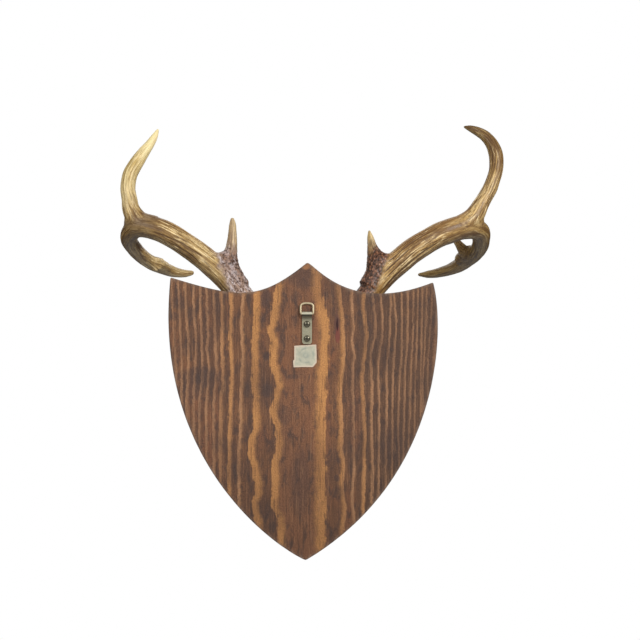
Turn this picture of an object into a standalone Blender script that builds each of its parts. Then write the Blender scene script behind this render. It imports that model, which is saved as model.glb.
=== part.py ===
"""Antler mounting plaque: a shield board that carries a pair of antlers.

A leather-covered cap on the board's front joins the antlers. A folded strap on its back holds a swinging D-ring.
Metres, +Z up. The board's back faces +Y, to the wall, and the antlers stand out to -Y. The origin is the
hanging point: under the bow of the D-ring, in the plane of the board's back.
"""
import math

import bmesh
import bpy
from mathutils import Matrix, Vector

# Clearances
TOUCH_GAP = 0.0003
RUNNING_GAP = 0.00025

# Shield board
BOARD_HEIGHT = 0.317
BOARD_THICKNESS = 0.019
BOARD_LEFT_WIDTH = 0.1454
BOARD_RIGHT_WIDTH = 0.1342
BOARD_EDGE_RADIUS = 0.0015
BOARD_CORNER_RADIUS = 0.0024
APEX_ABOVE_ORIGIN = 0.0443

# Cap over the skull plate
CAP_HALF_WIDTH = 0.060
CAP_HALF_HEIGHT = 0.050
CAP_DEPTH = 0.038
CAP_BELOW_ORIGIN = 0.052
PEDICLE_RADIUS = 0.0160
PEDICLE_FLARE = 0.0230
PEDICLE_LENGTH = 0.030

# Antlers
ANTLER_HEIGHT = 0.220
BEAM_RADIUS = 0.0130
BURR_RADIUS = 0.0190
BURR_LENGTH = 0.0090
SEAT_OUT = 0.046
SEAT_FORWARD = 0.029
SEAT_BELOW_ORIGIN = 0.023

# Strap hanger
WIRE_RADIUS = 0.0011
RING_WIDTH = 0.0156
RING_HEIGHT = 0.0134
RING_CORNER_RADIUS = 0.0012
RING_REST_GAP = 0.0004
STRAP_WIDTH = 0.0104
STRAP_LENGTH = 0.0347
SHEET_THICKNESS = 0.0009
STRAP_END_RADIUS = 0.0030
UPPER_SCREW_BELOW_BAR = 0.0112
SCREW_SPACING = 0.0153
STRAP_NECK_BULGE = 0.0004

# Screws
SCREW_HEAD_RADIUS = 0.0035
SCREW_HEAD_HEIGHT = 0.0022
SCREW_SHANK_RADIUS = 0.0015
SCREW_LENGTH = 0.0130
RECESS_WIDTH = 0.0009
RECESS_REACH = 0.0019
RECESS_DEPTH = 0.0010

# Tape
TAPE_THICKNESS = 0.0003
TAPE_WIDTH = 0.0234
TAPE_HEIGHT = 0.0240

# The D-ring's bow: the share of the ring's height where it starts, and how far its curve is from a circle's
BOW_START = 0.54
BOW_POWER = 0.8

# The strap's fold: how far the sheet turns, and how far below the ring's bar its neck and its flat part begin,
# in outer radii of the fold
FOLD_DEGREES = 215.0
NECK_BELOW_BAR = 1.9
FLAT_BELOW_BAR = 2.5

# A screw in shares of its head's height, its head's radius and its length
DOME_SHARE = 0.85
UNDERHEAD_SHARE = 0.97
POINT_START = 0.8

# The burr's profile: a share of its length and its radius as a share of the burr's
BURR_PROFILE = [(0.0, 0.90), (0.3, 1.0), (0.6, 0.93)]
BEAM_FOOT_SHARE = 1.12

# The torn tape: shares of its width to the left of the screws' line and of its height down from its top
TAPE_OUTLINE = [
    (-0.420, -0.012), (0.580, 0.046), (0.580, 0.670), (0.636, 0.690), (0.618, 1.000),
    (-0.266, 0.992), (-0.437, 0.800), (-0.441, 0.450),
]

# The board's edge in shares of its height down from the apex and of its width out to each corner. A row is
# a handle, a handle and the point that the stretch of edge runs to.
LEFT_EDGE = [
    [(0.347, 0.127), (0.485, 0.120), (1.0, 0.054)],
    [(1.140, 0.642), (0.296, 0.940), (0.011, 1.0)],
]
RIGHT_EDGE = [
    [(0.060, 0.0), (0.320, 0.180), (1.0, 0.066)],
    [(1.092, 0.200), (1.104, 0.722), (-0.011, 1.0)],
]

# A row of an antler is a place on a branch's centre line and its thickness there. The place is out from the
# seat, forward and up, in hundredths of the antler's height. The thickness is in hundredths of the beam's.
LEFT_BEAM = [
    (5.6, 2.7, 6.3, 105), (9.7, 4.5, 11.8, 102), (14.8, 6.4, 17.8, 102), (19.8, 7.7, 23.4, 103),
    (26.0, 9.5, 29.6, 106), (33.2, 11.4, 35.6, 103), (41.8, 13.2, 41.7, 101), (51.0, 14.5, 47.1, 100),
    (58.7, 15.9, 49.7, 98), (65.0, 18.2, 50.0, 92), (69.1, 22.3, 47.7, 82), (70.8, 29.1, 43.9, 71),
    (69.3, 39.5, 40.0, 67), (66.4, 50.0, 36.3, 65), (61.9, 60.0, 32.9, 62), (57.9, 66.4, 31.0, 56),
    (54.2, 71.3, 29.4, 48), (50.5, 75.5, 28.3, 38), (46.5, 79.5, 27.9, 29), (42.9, 82.7, 28.3, 17),
]
LEFT_UPPER_TINE = [
    (56.5, 15.9, 49.9, 94), (64.2, 17.8, 52.5, 94), (68.3, 18.2, 58.2, 80), (69.5, 18.6, 63.9, 69),
    (70.5, 20.0, 69.9, 65), (69.9, 22.3, 76.2, 65), (68.1, 23.6, 80.4, 63), (65.7, 25.5, 84.7, 59),
    (63.0, 26.8, 88.9, 51), (60.1, 28.2, 93.1, 40), (57.8, 29.5, 97.2, 28), (56.3, 30.5, 100.6, 12),
]
LEFT_BROW_TINE = [
    (12.8, 6.4, 18.6, 92), (15.6, 7.2, 23.2, 88), (17.9, 8.2, 28.6, 84), (18.2, 9.1, 33.7, 70),
    (17.4, 10.0, 38.6, 51), (17.0, 10.9, 43.0, 41), (16.9, 11.8, 47.1, 35), (16.9, 12.7, 51.2, 27),
    (17.0, 13.2, 54.0, 9),
]
LEFT_POINT = [(61.8, 58.0, 33.2, 58), (59.2, 58.6, 33.9, 46), (57.3, 59.0, 34.4, 28)]
RIGHT_BEAM = [
    (4.4, 2.7, 6.3, 105), (7.4, 4.5, 11.8, 102), (10.5, 6.4, 16.8, 101), (15.0, 7.7, 22.2, 102),
    (19.5, 9.1, 26.9, 104), (24.5, 10.5, 31.5, 107), (32.4, 12.3, 38.1, 108), (43.5, 14.5, 44.7, 105),
    (49.9, 15.9, 47.4, 106), (56.5, 18.2, 49.6, 104), (62.2, 21.4, 49.8, 99), (66.9, 25.9, 48.2, 88),
    (68.5, 32.7, 44.1, 77), (67.9, 40.9, 39.8, 72), (65.0, 50.0, 36.1, 68), (60.4, 59.1, 32.7, 65),
    (55.3, 67.7, 30.0, 55), (48.2, 75.5, 28.1, 42), (43.6, 79.5, 27.6, 33), (39.6, 83.2, 27.6, 19),
]
RIGHT_UPPER_TINE = [
    (49.9, 15.9, 47.4, 96), (56.9, 17.8, 50.4, 95), (63.2, 19.1, 55.1, 86), (67.1, 20.0, 61.6, 70),
    (69.7, 20.9, 65.9, 64), (72.0, 21.8, 70.0, 63), (73.6, 22.7, 74.2, 62), (75.0, 24.1, 78.4, 62),
    (75.6, 25.5, 82.6, 62), (75.6, 26.8, 86.9, 62), (74.6, 28.2, 91.0, 60), (72.9, 29.5, 94.5, 55),
    (70.3, 30.9, 97.6, 49), (66.9, 32.3, 99.9, 41), (63.4, 33.2, 101.5, 29), (60.1, 34.1, 102.5, 13),
]
RIGHT_BROW_TINE = [
    (10.2, 6.2, 18.9, 100), (12.3, 7.2, 23.0, 95), (13.9, 8.2, 27.0, 92), (13.7, 9.1, 32.5, 84),
    (12.1, 10.0, 37.6, 53), (11.2, 10.9, 41.6, 36), (10.7, 11.4, 44.6, 27), (10.2, 12.3, 47.6, 11),
]
RIGHT_EXTRA_TINE = [
    (63.0, 49.0, 36.2, 56), (60.6, 46.8, 39.3, 49), (58.0, 45.5, 42.6, 34), (55.5, 44.5, 46.2, 27),
    (53.4, 44.1, 49.9, 12),
]

# How finely curves are drawn
STEPS_PER_ROW = 2
EDGE_STEPS = 14
ROUND_STEPS = 16
BOW_STEPS = 8
FOLD_STEPS = 12
DOME_STEPS = 5
HOLE_STEPS = 12
BEAM_SIDES = 12
TINE_SIDES = 10
STUMP_STEPS = 20
CORNER_STEPS = 4

# Points closer than this are one point
WELD_DISTANCE = 0.00001


def clear_scene():
    for old in list(bpy.data.objects):
        bpy.data.objects.remove(old, do_unlink=True)


def new_collection(name):
    collection = bpy.data.collections.new(name)
    bpy.context.scene.collection.children.link(collection)
    return collection


def new_material(name, colour, roughness, metallic):
    material = bpy.data.materials.new(name)
    material.use_nodes = True
    shader = material.node_tree.nodes["Principled BSDF"]
    shader.inputs["Base Color"].default_value = (*colour, 1.0)
    shader.inputs["Roughness"].default_value = roughness
    shader.inputs["Metallic"].default_value = metallic
    return material


def new_object(name, data, material, collection):
    obj = bpy.data.objects.new(name, data)
    collection.objects.link(obj)
    if material is not None:
        obj.data.materials.append(material)
    return obj


def mesh_of_curve(curve_object, name):
    """Return a closed mesh of a curve object, in world space, and remove the curve."""
    bpy.context.view_layer.update()
    depsgraph = bpy.context.evaluated_depsgraph_get()
    mesh = bpy.data.meshes.new_from_object(curve_object.evaluated_get(depsgraph))
    mesh.transform(curve_object.matrix_world)
    mesh.name = name
    bpy.data.objects.remove(curve_object, do_unlink=True)
    work = bmesh.new()
    work.from_mesh(mesh)
    bmesh.ops.remove_doubles(work, verts=work.verts, dist=WELD_DISTANCE)
    bmesh.ops.recalc_face_normals(work, faces=work.faces)
    work.to_mesh(mesh)
    work.free()
    mesh.materials.clear()
    return mesh


def merge_flat_faces(mesh):
    """Turn the triangles that fill a flat outline back into one face."""
    work = bmesh.new()
    work.from_mesh(mesh)
    bmesh.ops.dissolve_limit(work, angle_limit=math.radians(0.1), verts=work.verts, edges=work.edges)
    work.to_mesh(mesh)
    work.free()


def round_edges(mesh, chosen, radius, segments):
    """Round the edges for which chosen(start, end) is true."""
    work = bmesh.new()
    work.from_mesh(mesh)
    edges = [edge for edge in work.edges if chosen(edge.verts[0].co, edge.verts[1].co)]
    bmesh.ops.bevel(work, geom=edges, offset=radius, segments=segments, profile=0.5, affect="EDGES")
    work.to_mesh(mesh)
    work.free()


def flat_solid(name, loops, thickness, placement):
    """Extrude closed loops of (x, y) points to both sides of their plane. An inner loop is a hole."""
    curve = bpy.data.curves.new(name, "CURVE")
    curve.dimensions = "2D"
    curve.fill_mode = "BOTH"
    curve.extrude = thickness / 2
    for loop in loops:
        spline = curve.splines.new("POLY")
        spline.points.add(len(loop) - 1)
        for point, (x, y) in zip(spline.points, loop):
            point.co = (x, y, 0.0, 1.0)
        spline.use_cyclic_u = True
    guide = new_object(name + "_outline", curve, None, bpy.context.scene.collection)
    guide.matrix_world = placement
    mesh = mesh_of_curve(guide, name)
    merge_flat_faces(mesh)
    return mesh


def tube_mesh(name, rows, sides, closed=False):
    """Sweep a round section along rows of (place, radius)."""
    curve = bpy.data.curves.new(name, "CURVE")
    curve.dimensions = "3D"
    curve.bevel_depth = 1.0
    curve.bevel_resolution = sides // 2 - 2
    curve.use_fill_caps = not closed
    spline = curve.splines.new("POLY")
    spline.points.add(len(rows) - 1)
    for point, (place, radius) in zip(spline.points, rows):
        point.co = (*place, 1.0)
        point.radius = radius
    spline.use_cyclic_u = closed
    return mesh_of_curve(new_object(name + "_line", curve, None, bpy.context.scene.collection), name)


def cylinder_mesh(name, radius, length, base, direction, steps=ROUND_STEPS, end_radius=None):
    """A cylinder, or a cone with its own end radius, that starts at base and runs along direction."""
    work = bmesh.new()
    turn = Vector((0.0, 0.0, 1.0)).rotation_difference(direction).to_matrix().to_4x4()
    middle = Matrix.Translation(base + direction.normalized() * (length / 2)) @ turn
    bmesh.ops.create_cone(work, cap_ends=True, segments=steps, radius1=radius,
                          radius2=end_radius or radius, depth=length, matrix=middle)
    mesh = bpy.data.meshes.new(name)
    work.to_mesh(mesh)
    work.free()
    return mesh


def box_mesh(name, size, centre):
    work = bmesh.new()
    placement = Matrix.Translation(centre) @ Matrix.Diagonal((*size, 1.0))
    bmesh.ops.create_cube(work, size=1.0, matrix=placement)
    mesh = bpy.data.meshes.new(name)
    work.to_mesh(mesh)
    work.free()
    return mesh


def combine(target, other_mesh, operation, cutters):
    """Add a Boolean with another mesh, which stays in the file as a wire guide."""
    other = new_object(other_mesh.name, other_mesh, None, cutters)
    other.hide_render = True
    other.display_type = "WIRE"
    boolean = target.modifiers.new(other_mesh.name, "BOOLEAN")
    boolean.operation = operation
    boolean.solver = "EXACT"
    boolean.object = other


def shade_round(obj, angle=35.0):
    obj.data.shade_smooth()
    obj.data.set_sharp_from_angle(angle=math.radians(angle))


def cubic(start, handle_a, handle_b, end, steps):
    """Points along a cubic curve, without its last point."""
    points = []
    for step in range(steps):
        t = step / steps
        weights = ((1 - t) ** 3, 3 * (1 - t) ** 2 * t, 3 * (1 - t) * t ** 2, t ** 3)
        corners = (start, handle_a, handle_b, end)
        points.append(tuple(sum(w * c[i] for w, c in zip(weights, corners)) for i in (0, 1)))
    return points


def smooth_rows(rows, steps):
    """Draw a smooth line through rows of numbers, with steps pieces between neighbours."""
    first = tuple(2 * a - b for a, b in zip(rows[0], rows[1]))
    last = tuple(2 * a - b for a, b in zip(rows[-1], rows[-2]))
    longer = [first, *rows, last]
    drawn = []
    for a, b, c, d in zip(longer, longer[1:], longer[2:], longer[3:]):
        for step in range(steps):
            t = step / steps
            drawn.append(tuple(0.5 * (2 * q + (r - p) * t + (2 * p - 5 * q + 4 * r - s) * t * t
                                      + (3 * q - p - 3 * r + s) * t ** 3)
                               for p, q, r, s in zip(a, b, c, d)))
    drawn.append(rows[-1])
    return drawn


def board_outline():
    """The shield's edge as (x, z) points, from the apex down the left side and up the right."""
    def spot(width, share):
        return width * share[0], APEX_ABOVE_ORIGIN - BOARD_HEIGHT * share[1]

    def edge(width, stretches):
        points = []
        start = (0.0, 0.0)
        for handle_a, handle_b, end in stretches:
            corners = [spot(width, share) for share in (start, handle_a, handle_b, end)]
            points += cubic(*corners, EDGE_STEPS)
            start = end
        return points

    left = edge(BOARD_LEFT_WIDTH, LEFT_EDGE)
    right = edge(-BOARD_RIGHT_WIDTH, RIGHT_EDGE)
    tip = spot(BOARD_LEFT_WIDTH, LEFT_EDGE[-1][-1])
    return left + [tip] + right[:0:-1]


def board_corners():
    """The shield's four corners: its apex, both shoulders and its tip."""
    left, right = LEFT_EDGE[0][-1], RIGHT_EDGE[0][-1]
    tip = LEFT_EDGE[-1][-1]
    shares = [(0.0, 0.0), (BOARD_LEFT_WIDTH * left[0], left[1]), (-BOARD_RIGHT_WIDTH * right[0], right[1]),
              (BOARD_LEFT_WIDTH * tip[0], tip[1])]
    return [(x, APEX_ABOVE_ORIGIN - BOARD_HEIGHT * down) for x, down in shares]


def make_board(material, parts, cutters):
    upright = Matrix.Translation((0.0, -BOARD_THICKNESS / 2, 0.0)) @ Matrix.Rotation(math.radians(90), 4, "X")
    mesh = flat_solid("shield_board", [board_outline()], BOARD_THICKNESS, upright)

    def is_corner(start, end):
        runs_through = abs(start.y - end.y) > BOARD_THICKNESS / 2
        near = any(math.hypot(start.x - x, start.z - z) < TOUCH_GAP for x, z in board_corners())
        return runs_through and near

    round_edges(mesh, is_corner, BOARD_CORNER_RADIUS, CORNER_STEPS)
    board = new_object("shield_board", mesh, material, parts)
    rims = board.modifiers.new("eased_edges", "BEVEL")
    rims.width = BOARD_EDGE_RADIUS
    rims.segments = 2
    rims.limit_method = "ANGLE"
    rims.angle_limit = math.radians(40)
    for name, height in screw_places():
        hole = cylinder_mesh(name + "_pilot", SCREW_SHANK_RADIUS + TOUCH_GAP, 2 * SCREW_LENGTH,
                             Vector((0.0, -SCREW_LENGTH, height)), Vector((0.0, 1.0, 0.0)), HOLE_STEPS)
        combine(board, hole, "DIFFERENCE", cutters)
    shade_round(board)
    return board


def world_place(side, out, forward, up):
    """A place in world space: out to one side, forward of the board's back, and up."""
    return Vector((side * out, -forward, up))


def antler_seat(side):
    return world_place(side, SEAT_OUT, BOARD_THICKNESS + SEAT_FORWARD, -SEAT_BELOW_ORIGIN)


def antler_step(side, row):
    """The way from the seat to a row's place."""
    return world_place(side, *row[:3]) * (ANTLER_HEIGHT / 100)


def antler_axis(side, beam):
    """The direction in which an antler leaves its seat."""
    return antler_step(side, beam[0]).normalized()


def make_cap(material, parts, cutters):
    """A leather-covered dome with a stump under each antler, cut flat where it lies on the board."""
    work = bmesh.new()
    middle = Vector((0.0, -BOARD_THICKNESS, -CAP_BELOW_ORIGIN))
    shape = Matrix.Diagonal((CAP_HALF_WIDTH, CAP_DEPTH, CAP_HALF_HEIGHT, 1.0))
    pole_forward = Matrix.Rotation(math.radians(90), 4, "X")
    bmesh.ops.create_uvsphere(work, u_segments=32, v_segments=16, radius=1.0,
                              matrix=Matrix.Translation(middle) @ shape @ pole_forward)
    mesh = bpy.data.meshes.new("skull_cap")
    work.to_mesh(mesh)
    work.free()
    cap = new_object("skull_cap", mesh, material, parts)
    for name, side, beam in (("left", 1, LEFT_BEAM), ("right", -1, RIGHT_BEAM)):
        axis = antler_axis(side, beam)
        stump = cylinder_mesh(name + "_pedicle", PEDICLE_FLARE, PEDICLE_LENGTH,
                              antler_seat(side) - axis * PEDICLE_LENGTH, axis, STUMP_STEPS, PEDICLE_RADIUS)
        combine(cap, stump, "UNION", cutters)
    reach = 2 * (CAP_DEPTH + PEDICLE_FLARE)
    behind = box_mesh("behind_cap", (4 * CAP_HALF_WIDTH, reach, 4 * CAP_HALF_HEIGHT),
                      middle + Vector((0.0, reach / 2 - TOUCH_GAP, 0.0)))
    combine(cap, behind, "DIFFERENCE", cutters)
    shade_round(cap)
    return cap


def branch_mesh(name, side, rows, sides, foot=()):
    """One branch of an antler, swept through its rows, after the foot's own places and radii."""
    seat = antler_seat(side)
    placed = [(*place, radius) for place, radius in foot]
    placed += [(*(seat + antler_step(side, row)), BEAM_RADIUS * row[3] / 100) for row in rows]
    drawn = smooth_rows(placed, STEPS_PER_ROW)
    return tube_mesh(name, [(row[:3], row[3]) for row in drawn], sides)


def make_antler(name, side, beam, branches, material, parts, cutters):
    """An antler with a thickened burr at its foot, whose tines grow out of its beam."""
    axis = antler_axis(side, beam)
    profile = [(share, BURR_RADIUS * width) for share, width in BURR_PROFILE]
    profile.append((1.0, BEAM_RADIUS * BEAM_FOOT_SHARE))
    foot = [(antler_seat(side) + axis * (TOUCH_GAP + BURR_LENGTH * share), radius)
            for share, radius in profile]
    antler = new_object(name, branch_mesh(name, side, beam, BEAM_SIDES, foot), material, parts)
    for branch, rows in branches:
        combine(antler, branch_mesh(f"{name}_{branch}", side, rows, TINE_SIDES), "UNION", cutters)
    shade_round(antler, 60.0)
    return antler


def fold_radius():
    """Outer radius of the fold in which the ring's bar turns."""
    return WIRE_RADIUS + RUNNING_GAP + SHEET_THICKNESS


def ring_reach():
    """From the bar's centre to the bow's centre."""
    return RING_HEIGHT - 2 * WIRE_RADIUS


def ring_lean():
    """How far the ring leans towards the board until its bow nearly meets it."""
    return math.asin((TOUCH_GAP + fold_radius() - WIRE_RADIUS - RING_REST_GAP) / ring_reach())


def bar_centre():
    """The middle of the ring's bar, so far down that the origin is under the bow."""
    inner_height = ring_reach() - WIRE_RADIUS
    return Vector((0.0, TOUCH_GAP + fold_radius(), -inner_height * math.cos(ring_lean())))


def strap_end():
    return bar_centre().z + fold_radius() - STRAP_LENGTH


def screw_places():
    upper = bar_centre().z - UPPER_SCREW_BELOW_BAR
    return [("screw_upper", upper), ("screw_lower", upper - SCREW_SPACING)]


def make_ring(material, parts):
    """A wire bent to a D: a straight bar with tight corners, and a bow over it."""
    half = RING_WIDTH / 2 - WIRE_RADIUS
    shoulder = ring_reach() * BOW_START
    right = [(half - RING_CORNER_RADIUS * (1 - math.sin(turn)), RING_CORNER_RADIUS * (1 - math.cos(turn)))
             for turn in (0.0, math.pi / 6, math.pi / 3, math.pi / 2)]
    for step in range(BOW_STEPS + 1):
        turn = math.pi / 2 * step / BOW_STEPS
        right.append((half * math.cos(turn) ** BOW_POWER,
                      shoulder + (ring_reach() - shoulder) * math.sin(turn) ** BOW_POWER))
    loop = right + [(-x, up) for x, up in reversed(right[:-1])]
    rows = [((x, 0.0, up), WIRE_RADIUS) for x, up in loop]
    ring = new_object("hanger_ring", tube_mesh("hanger_ring", rows, 8, closed=True), material, parts)
    ring.location = bar_centre()
    ring.rotation_euler = (ring_lean(), 0.0, 0.0)
    shade_round(ring)
    return ring


def make_strap(material, parts, cutters):
    """A strip folded over the ring's bar, so that its two layers lie flat on the board."""
    bar, radius = bar_centre(), fold_radius()
    inner, outer, end = TOUCH_GAP, TOUCH_GAP + 2 * SHEET_THICKNESS, strap_end()

    def around_bar(distance, turn):
        return bar.y + distance * math.cos(turn), bar.z + distance * math.sin(turn)

    profile = [(inner, end)]
    for step in range(FOLD_STEPS + 1):
        profile.append(around_bar(radius, math.pi - math.radians(FOLD_DEGREES) * step / FOLD_STEPS))
    profile += [(outer + STRAP_NECK_BULGE, bar.z - NECK_BELOW_BAR * radius),
                (outer, bar.z - FLAT_BELOW_BAR * radius), (outer, end)]
    eye = [around_bar(WIRE_RADIUS + RUNNING_GAP, math.tau * step / ROUND_STEPS)
           for step in range(ROUND_STEPS)]
    sideways = Matrix(((0, 0, 1, 0), (1, 0, 0, 0), (0, 1, 0, 0), (0, 0, 0, 1)))
    mesh = flat_solid("hanger_strap", [profile, eye], STRAP_WIDTH, sideways)

    def is_end_corner(start, finish):
        low = max(start.z, finish.z) < end + SHEET_THICKNESS
        return low and abs(start.y - finish.y) > SHEET_THICKNESS

    round_edges(mesh, is_end_corner, STRAP_END_RADIUS, CORNER_STEPS)
    strap = new_object("hanger_strap", mesh, material, parts)
    for name, height in screw_places():
        hole = cylinder_mesh(name + "_strap_hole", SCREW_SHANK_RADIUS + TOUCH_GAP, 4 * SHEET_THICKNESS,
                             Vector((0.0, TOUCH_GAP - SHEET_THICKNESS, height)), Vector((0.0, 1.0, 0.0)),
                             HOLE_STEPS)
        combine(strap, hole, "DIFFERENCE", cutters)
    shade_round(strap)
    return strap


def make_screw(name, height, material, parts, cutters):
    """A round-head screw, turned about its own axis, with a cross recess."""
    turns = [math.pi / 2 * step / DOME_STEPS for step in range(DOME_STEPS + 1)]
    profile = [(SCREW_HEAD_RADIUS * math.sin(turn),
                SCREW_HEAD_HEIGHT * (1 - DOME_SHARE + DOME_SHARE * math.cos(turn))) for turn in turns]
    profile += [(SCREW_HEAD_RADIUS * UNDERHEAD_SHARE, 0.0), (SCREW_SHANK_RADIUS, 0.0)]
    profile += [(SCREW_SHANK_RADIUS, -POINT_START * SCREW_LENGTH), (0.0, -SCREW_LENGTH)]
    mesh = bpy.data.meshes.new(name)
    mesh.from_pydata([(x, 0.0, z) for x, z in profile], [(i, i + 1) for i in range(len(profile) - 1)], [])
    screw = new_object(name, mesh, material, parts)
    seat = TOUCH_GAP + 2 * SHEET_THICKNESS + TOUCH_GAP
    screw.location = (0.0, seat, height)
    screw.rotation_euler = (math.radians(-90), 0.0, 0.0)
    turned = screw.modifiers.new("turned", "SCREW")
    turned.axis = "Z"
    turned.steps = ROUND_STEPS
    turned.render_steps = ROUND_STEPS
    turned.use_merge_vertices = True
    turned.merge_threshold = WELD_DISTANCE
    top = seat + SCREW_HEAD_HEIGHT
    for way, size in (("wide", (2 * RECESS_REACH, 2 * RECESS_DEPTH, RECESS_WIDTH)),
                      ("tall", (RECESS_WIDTH, 2 * RECESS_DEPTH, 2 * RECESS_REACH))):
        slot = box_mesh(f"{name}_slot_{way}", size, Vector((0.0, top, height)))
        combine(screw, slot, "DIFFERENCE", cutters)
    shade_round(screw)
    return screw


def make_tape(material, parts):
    """A torn patch of tape: one corner is cut off and its left edge steps outwards."""
    top = strap_end() - 2 * TOUCH_GAP
    outline = [(TAPE_WIDTH * side, top - TAPE_HEIGHT * down) for side, down in TAPE_OUTLINE]
    placement = (Matrix.Translation((0.0, TOUCH_GAP + TAPE_THICKNESS / 2, 0.0))
                 @ Matrix.Rotation(math.radians(90), 4, "X"))
    mesh = flat_solid("tape_patch", [outline], TAPE_THICKNESS, placement)
    return new_object("tape_patch", mesh, material, parts)


def build():
    clear_scene()
    parts = new_collection("antler_mounting_plaque")
    cutters = new_collection("cutters")
    wood = new_material("stained_pine", (0.155, 0.060, 0.026), 0.55, 0.0)
    leather = new_material("brown_leather", (0.075, 0.035, 0.020), 0.60, 0.0)
    antler = new_material("antler", (0.38, 0.22, 0.095), 0.45, 0.0)
    sheet = new_material("aged_steel_sheet", (0.23, 0.21, 0.15), 0.45, 1.0)
    wire = new_material("aged_brass_wire", (0.45, 0.36, 0.20), 0.35, 1.0)
    screws = new_material("dark_steel", (0.16, 0.14, 0.10), 0.35, 1.0)
    paper = new_material("masking_tape", (0.50, 0.44, 0.30), 0.80, 0.0)

    make_board(wood, parts, cutters)
    make_cap(leather, parts, cutters)
    make_antler("antler_left", 1, LEFT_BEAM,
                [("upper_tine", LEFT_UPPER_TINE), ("brow_tine", LEFT_BROW_TINE), ("point", LEFT_POINT)],
                antler, parts, cutters)
    make_antler("antler_right", -1, RIGHT_BEAM,
                [("upper_tine", RIGHT_UPPER_TINE), ("brow_tine", RIGHT_BROW_TINE),
                 ("extra_tine", RIGHT_EXTRA_TINE)], antler, parts, cutters)
    make_strap(sheet, parts, cutters)
    make_ring(wire, parts)
    for name, height in screw_places():
        make_screw(name, height, screws, parts, cutters)
    make_tape(paper, parts)


build()
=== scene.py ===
"""Antler mounting plaque, seen from behind: a stained shield board that carries a pair of antlers.

The board's back faces +Y, its hanger and a torn piece of tape are on that side, and the antlers stand
out to -Y. Metres, +Z up. Every fine piece stands for one solid of the frame and lies where it lies.
"""

import math

import bmesh
import bpy
import numpy as np
from mathutils import Matrix, Vector, geometry


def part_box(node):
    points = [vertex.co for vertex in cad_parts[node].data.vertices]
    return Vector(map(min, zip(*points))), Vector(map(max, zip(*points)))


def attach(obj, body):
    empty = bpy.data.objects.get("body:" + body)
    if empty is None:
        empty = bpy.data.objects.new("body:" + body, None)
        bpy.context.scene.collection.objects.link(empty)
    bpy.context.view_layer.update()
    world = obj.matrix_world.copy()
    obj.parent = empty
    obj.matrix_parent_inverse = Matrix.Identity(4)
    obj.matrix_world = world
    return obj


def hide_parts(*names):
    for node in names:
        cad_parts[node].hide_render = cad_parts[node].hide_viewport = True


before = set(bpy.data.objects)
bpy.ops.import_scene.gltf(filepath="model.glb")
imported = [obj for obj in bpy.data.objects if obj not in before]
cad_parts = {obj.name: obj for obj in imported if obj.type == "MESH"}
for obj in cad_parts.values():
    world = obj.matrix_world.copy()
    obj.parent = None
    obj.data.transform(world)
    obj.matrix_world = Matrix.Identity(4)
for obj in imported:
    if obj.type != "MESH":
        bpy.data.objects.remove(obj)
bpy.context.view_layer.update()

MM = 0.001

# Board
BOARD_HEIGHT = 0.317
BOARD_THICKNESS = 0.019
BOARD_LEFT_WIDTH = 0.1454
BOARD_RIGHT_WIDTH = 0.1342
BOARD_EDGE_RADIUS = 0.0016
APEX_ABOVE_ORIGIN = 0.0443
LEFT_EDGE = [
    [(0.347, 0.128), (0.485, 0.122), (1.0, 0.0495)],
    [(1.140, 0.642), (0.296, 0.940), (0.011, 1.0)],
]
RIGHT_EDGE = [
    [(0.060, 0.0), (0.320, 0.180), (1.0, 0.066)],
    [(1.092, 0.200), (1.104, 0.722), (-0.011, 1.0)],
]
BOARD_STEP = 0.9 * MM
GRAIN_RELIEF = 0.10 * MM

# Antlers: a row is a place out, forward and up from the seat in hundredths of the antler's height, and the
# branch's thickness there in hundredths of the beam's
ANTLER_HEIGHT = 0.220
BEAM_RADIUS = 0.0130
BURR_RADIUS = 0.0190
BURR_LENGTH = 0.0090
SEAT_OUT = 0.046
SEAT_FORWARD = 0.048
SEAT_BELOW_ORIGIN = 0.023
BURR_PROFILE = [(0.0, 0.90), (0.3, 1.0), (0.6, 0.93)]
LEFT_BEAM = [
    (5.6, 2.7, 6.3, 105), (9.7, 4.5, 11.8, 102), (14.8, 6.4, 17.8, 102), (19.8, 7.7, 23.4, 103),
    (26.0, 9.5, 29.6, 106), (33.2, 11.4, 35.6, 103), (41.8, 13.2, 41.7, 101), (51.0, 14.5, 47.1, 100),
    (58.7, 15.9, 49.7, 98), (65.0, 18.2, 50.0, 92), (69.1, 22.3, 47.7, 82), (70.8, 29.1, 43.9, 71),
    (69.3, 39.5, 40.0, 67), (66.4, 50.0, 36.3, 65), (61.9, 60.0, 33.0, 64), (57.9, 66.4, 31.2, 60),
    (54.2, 71.3, 29.6, 54), (50.5, 75.5, 28.5, 46), (46.5, 79.5, 28.1, 37), (42.9, 82.7, 28.5, 24),
]
LEFT_UPPER_TINE = [
    (56.5, 15.9, 49.9, 94), (64.2, 17.8, 52.5, 94), (68.3, 18.2, 58.2, 80), (69.5, 18.6, 63.9, 69),
    (70.5, 20.0, 69.9, 65), (69.9, 22.3, 76.2, 65), (68.1, 23.6, 80.4, 63), (65.7, 25.5, 84.7, 59),
    (63.0, 26.8, 88.9, 51), (60.1, 28.2, 93.1, 40), (57.8, 29.5, 97.2, 28), (56.3, 30.5, 100.6, 12),
]
LEFT_BROW_TINE = [
    (12.8, 6.4, 18.6, 92), (15.6, 7.2, 23.2, 88), (17.9, 8.2, 28.6, 84), (18.2, 9.1, 33.7, 70),
    (17.4, 10.0, 38.6, 51), (17.0, 10.9, 43.0, 43), (16.9, 11.8, 47.1, 37), (16.9, 12.7, 51.0, 31),
    (17.0, 13.2, 53.4, 21),
]
LEFT_POINT = [(61.8, 58.0, 33.2, 58), (59.2, 58.6, 33.9, 46), (57.3, 59.0, 34.4, 28)]
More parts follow.
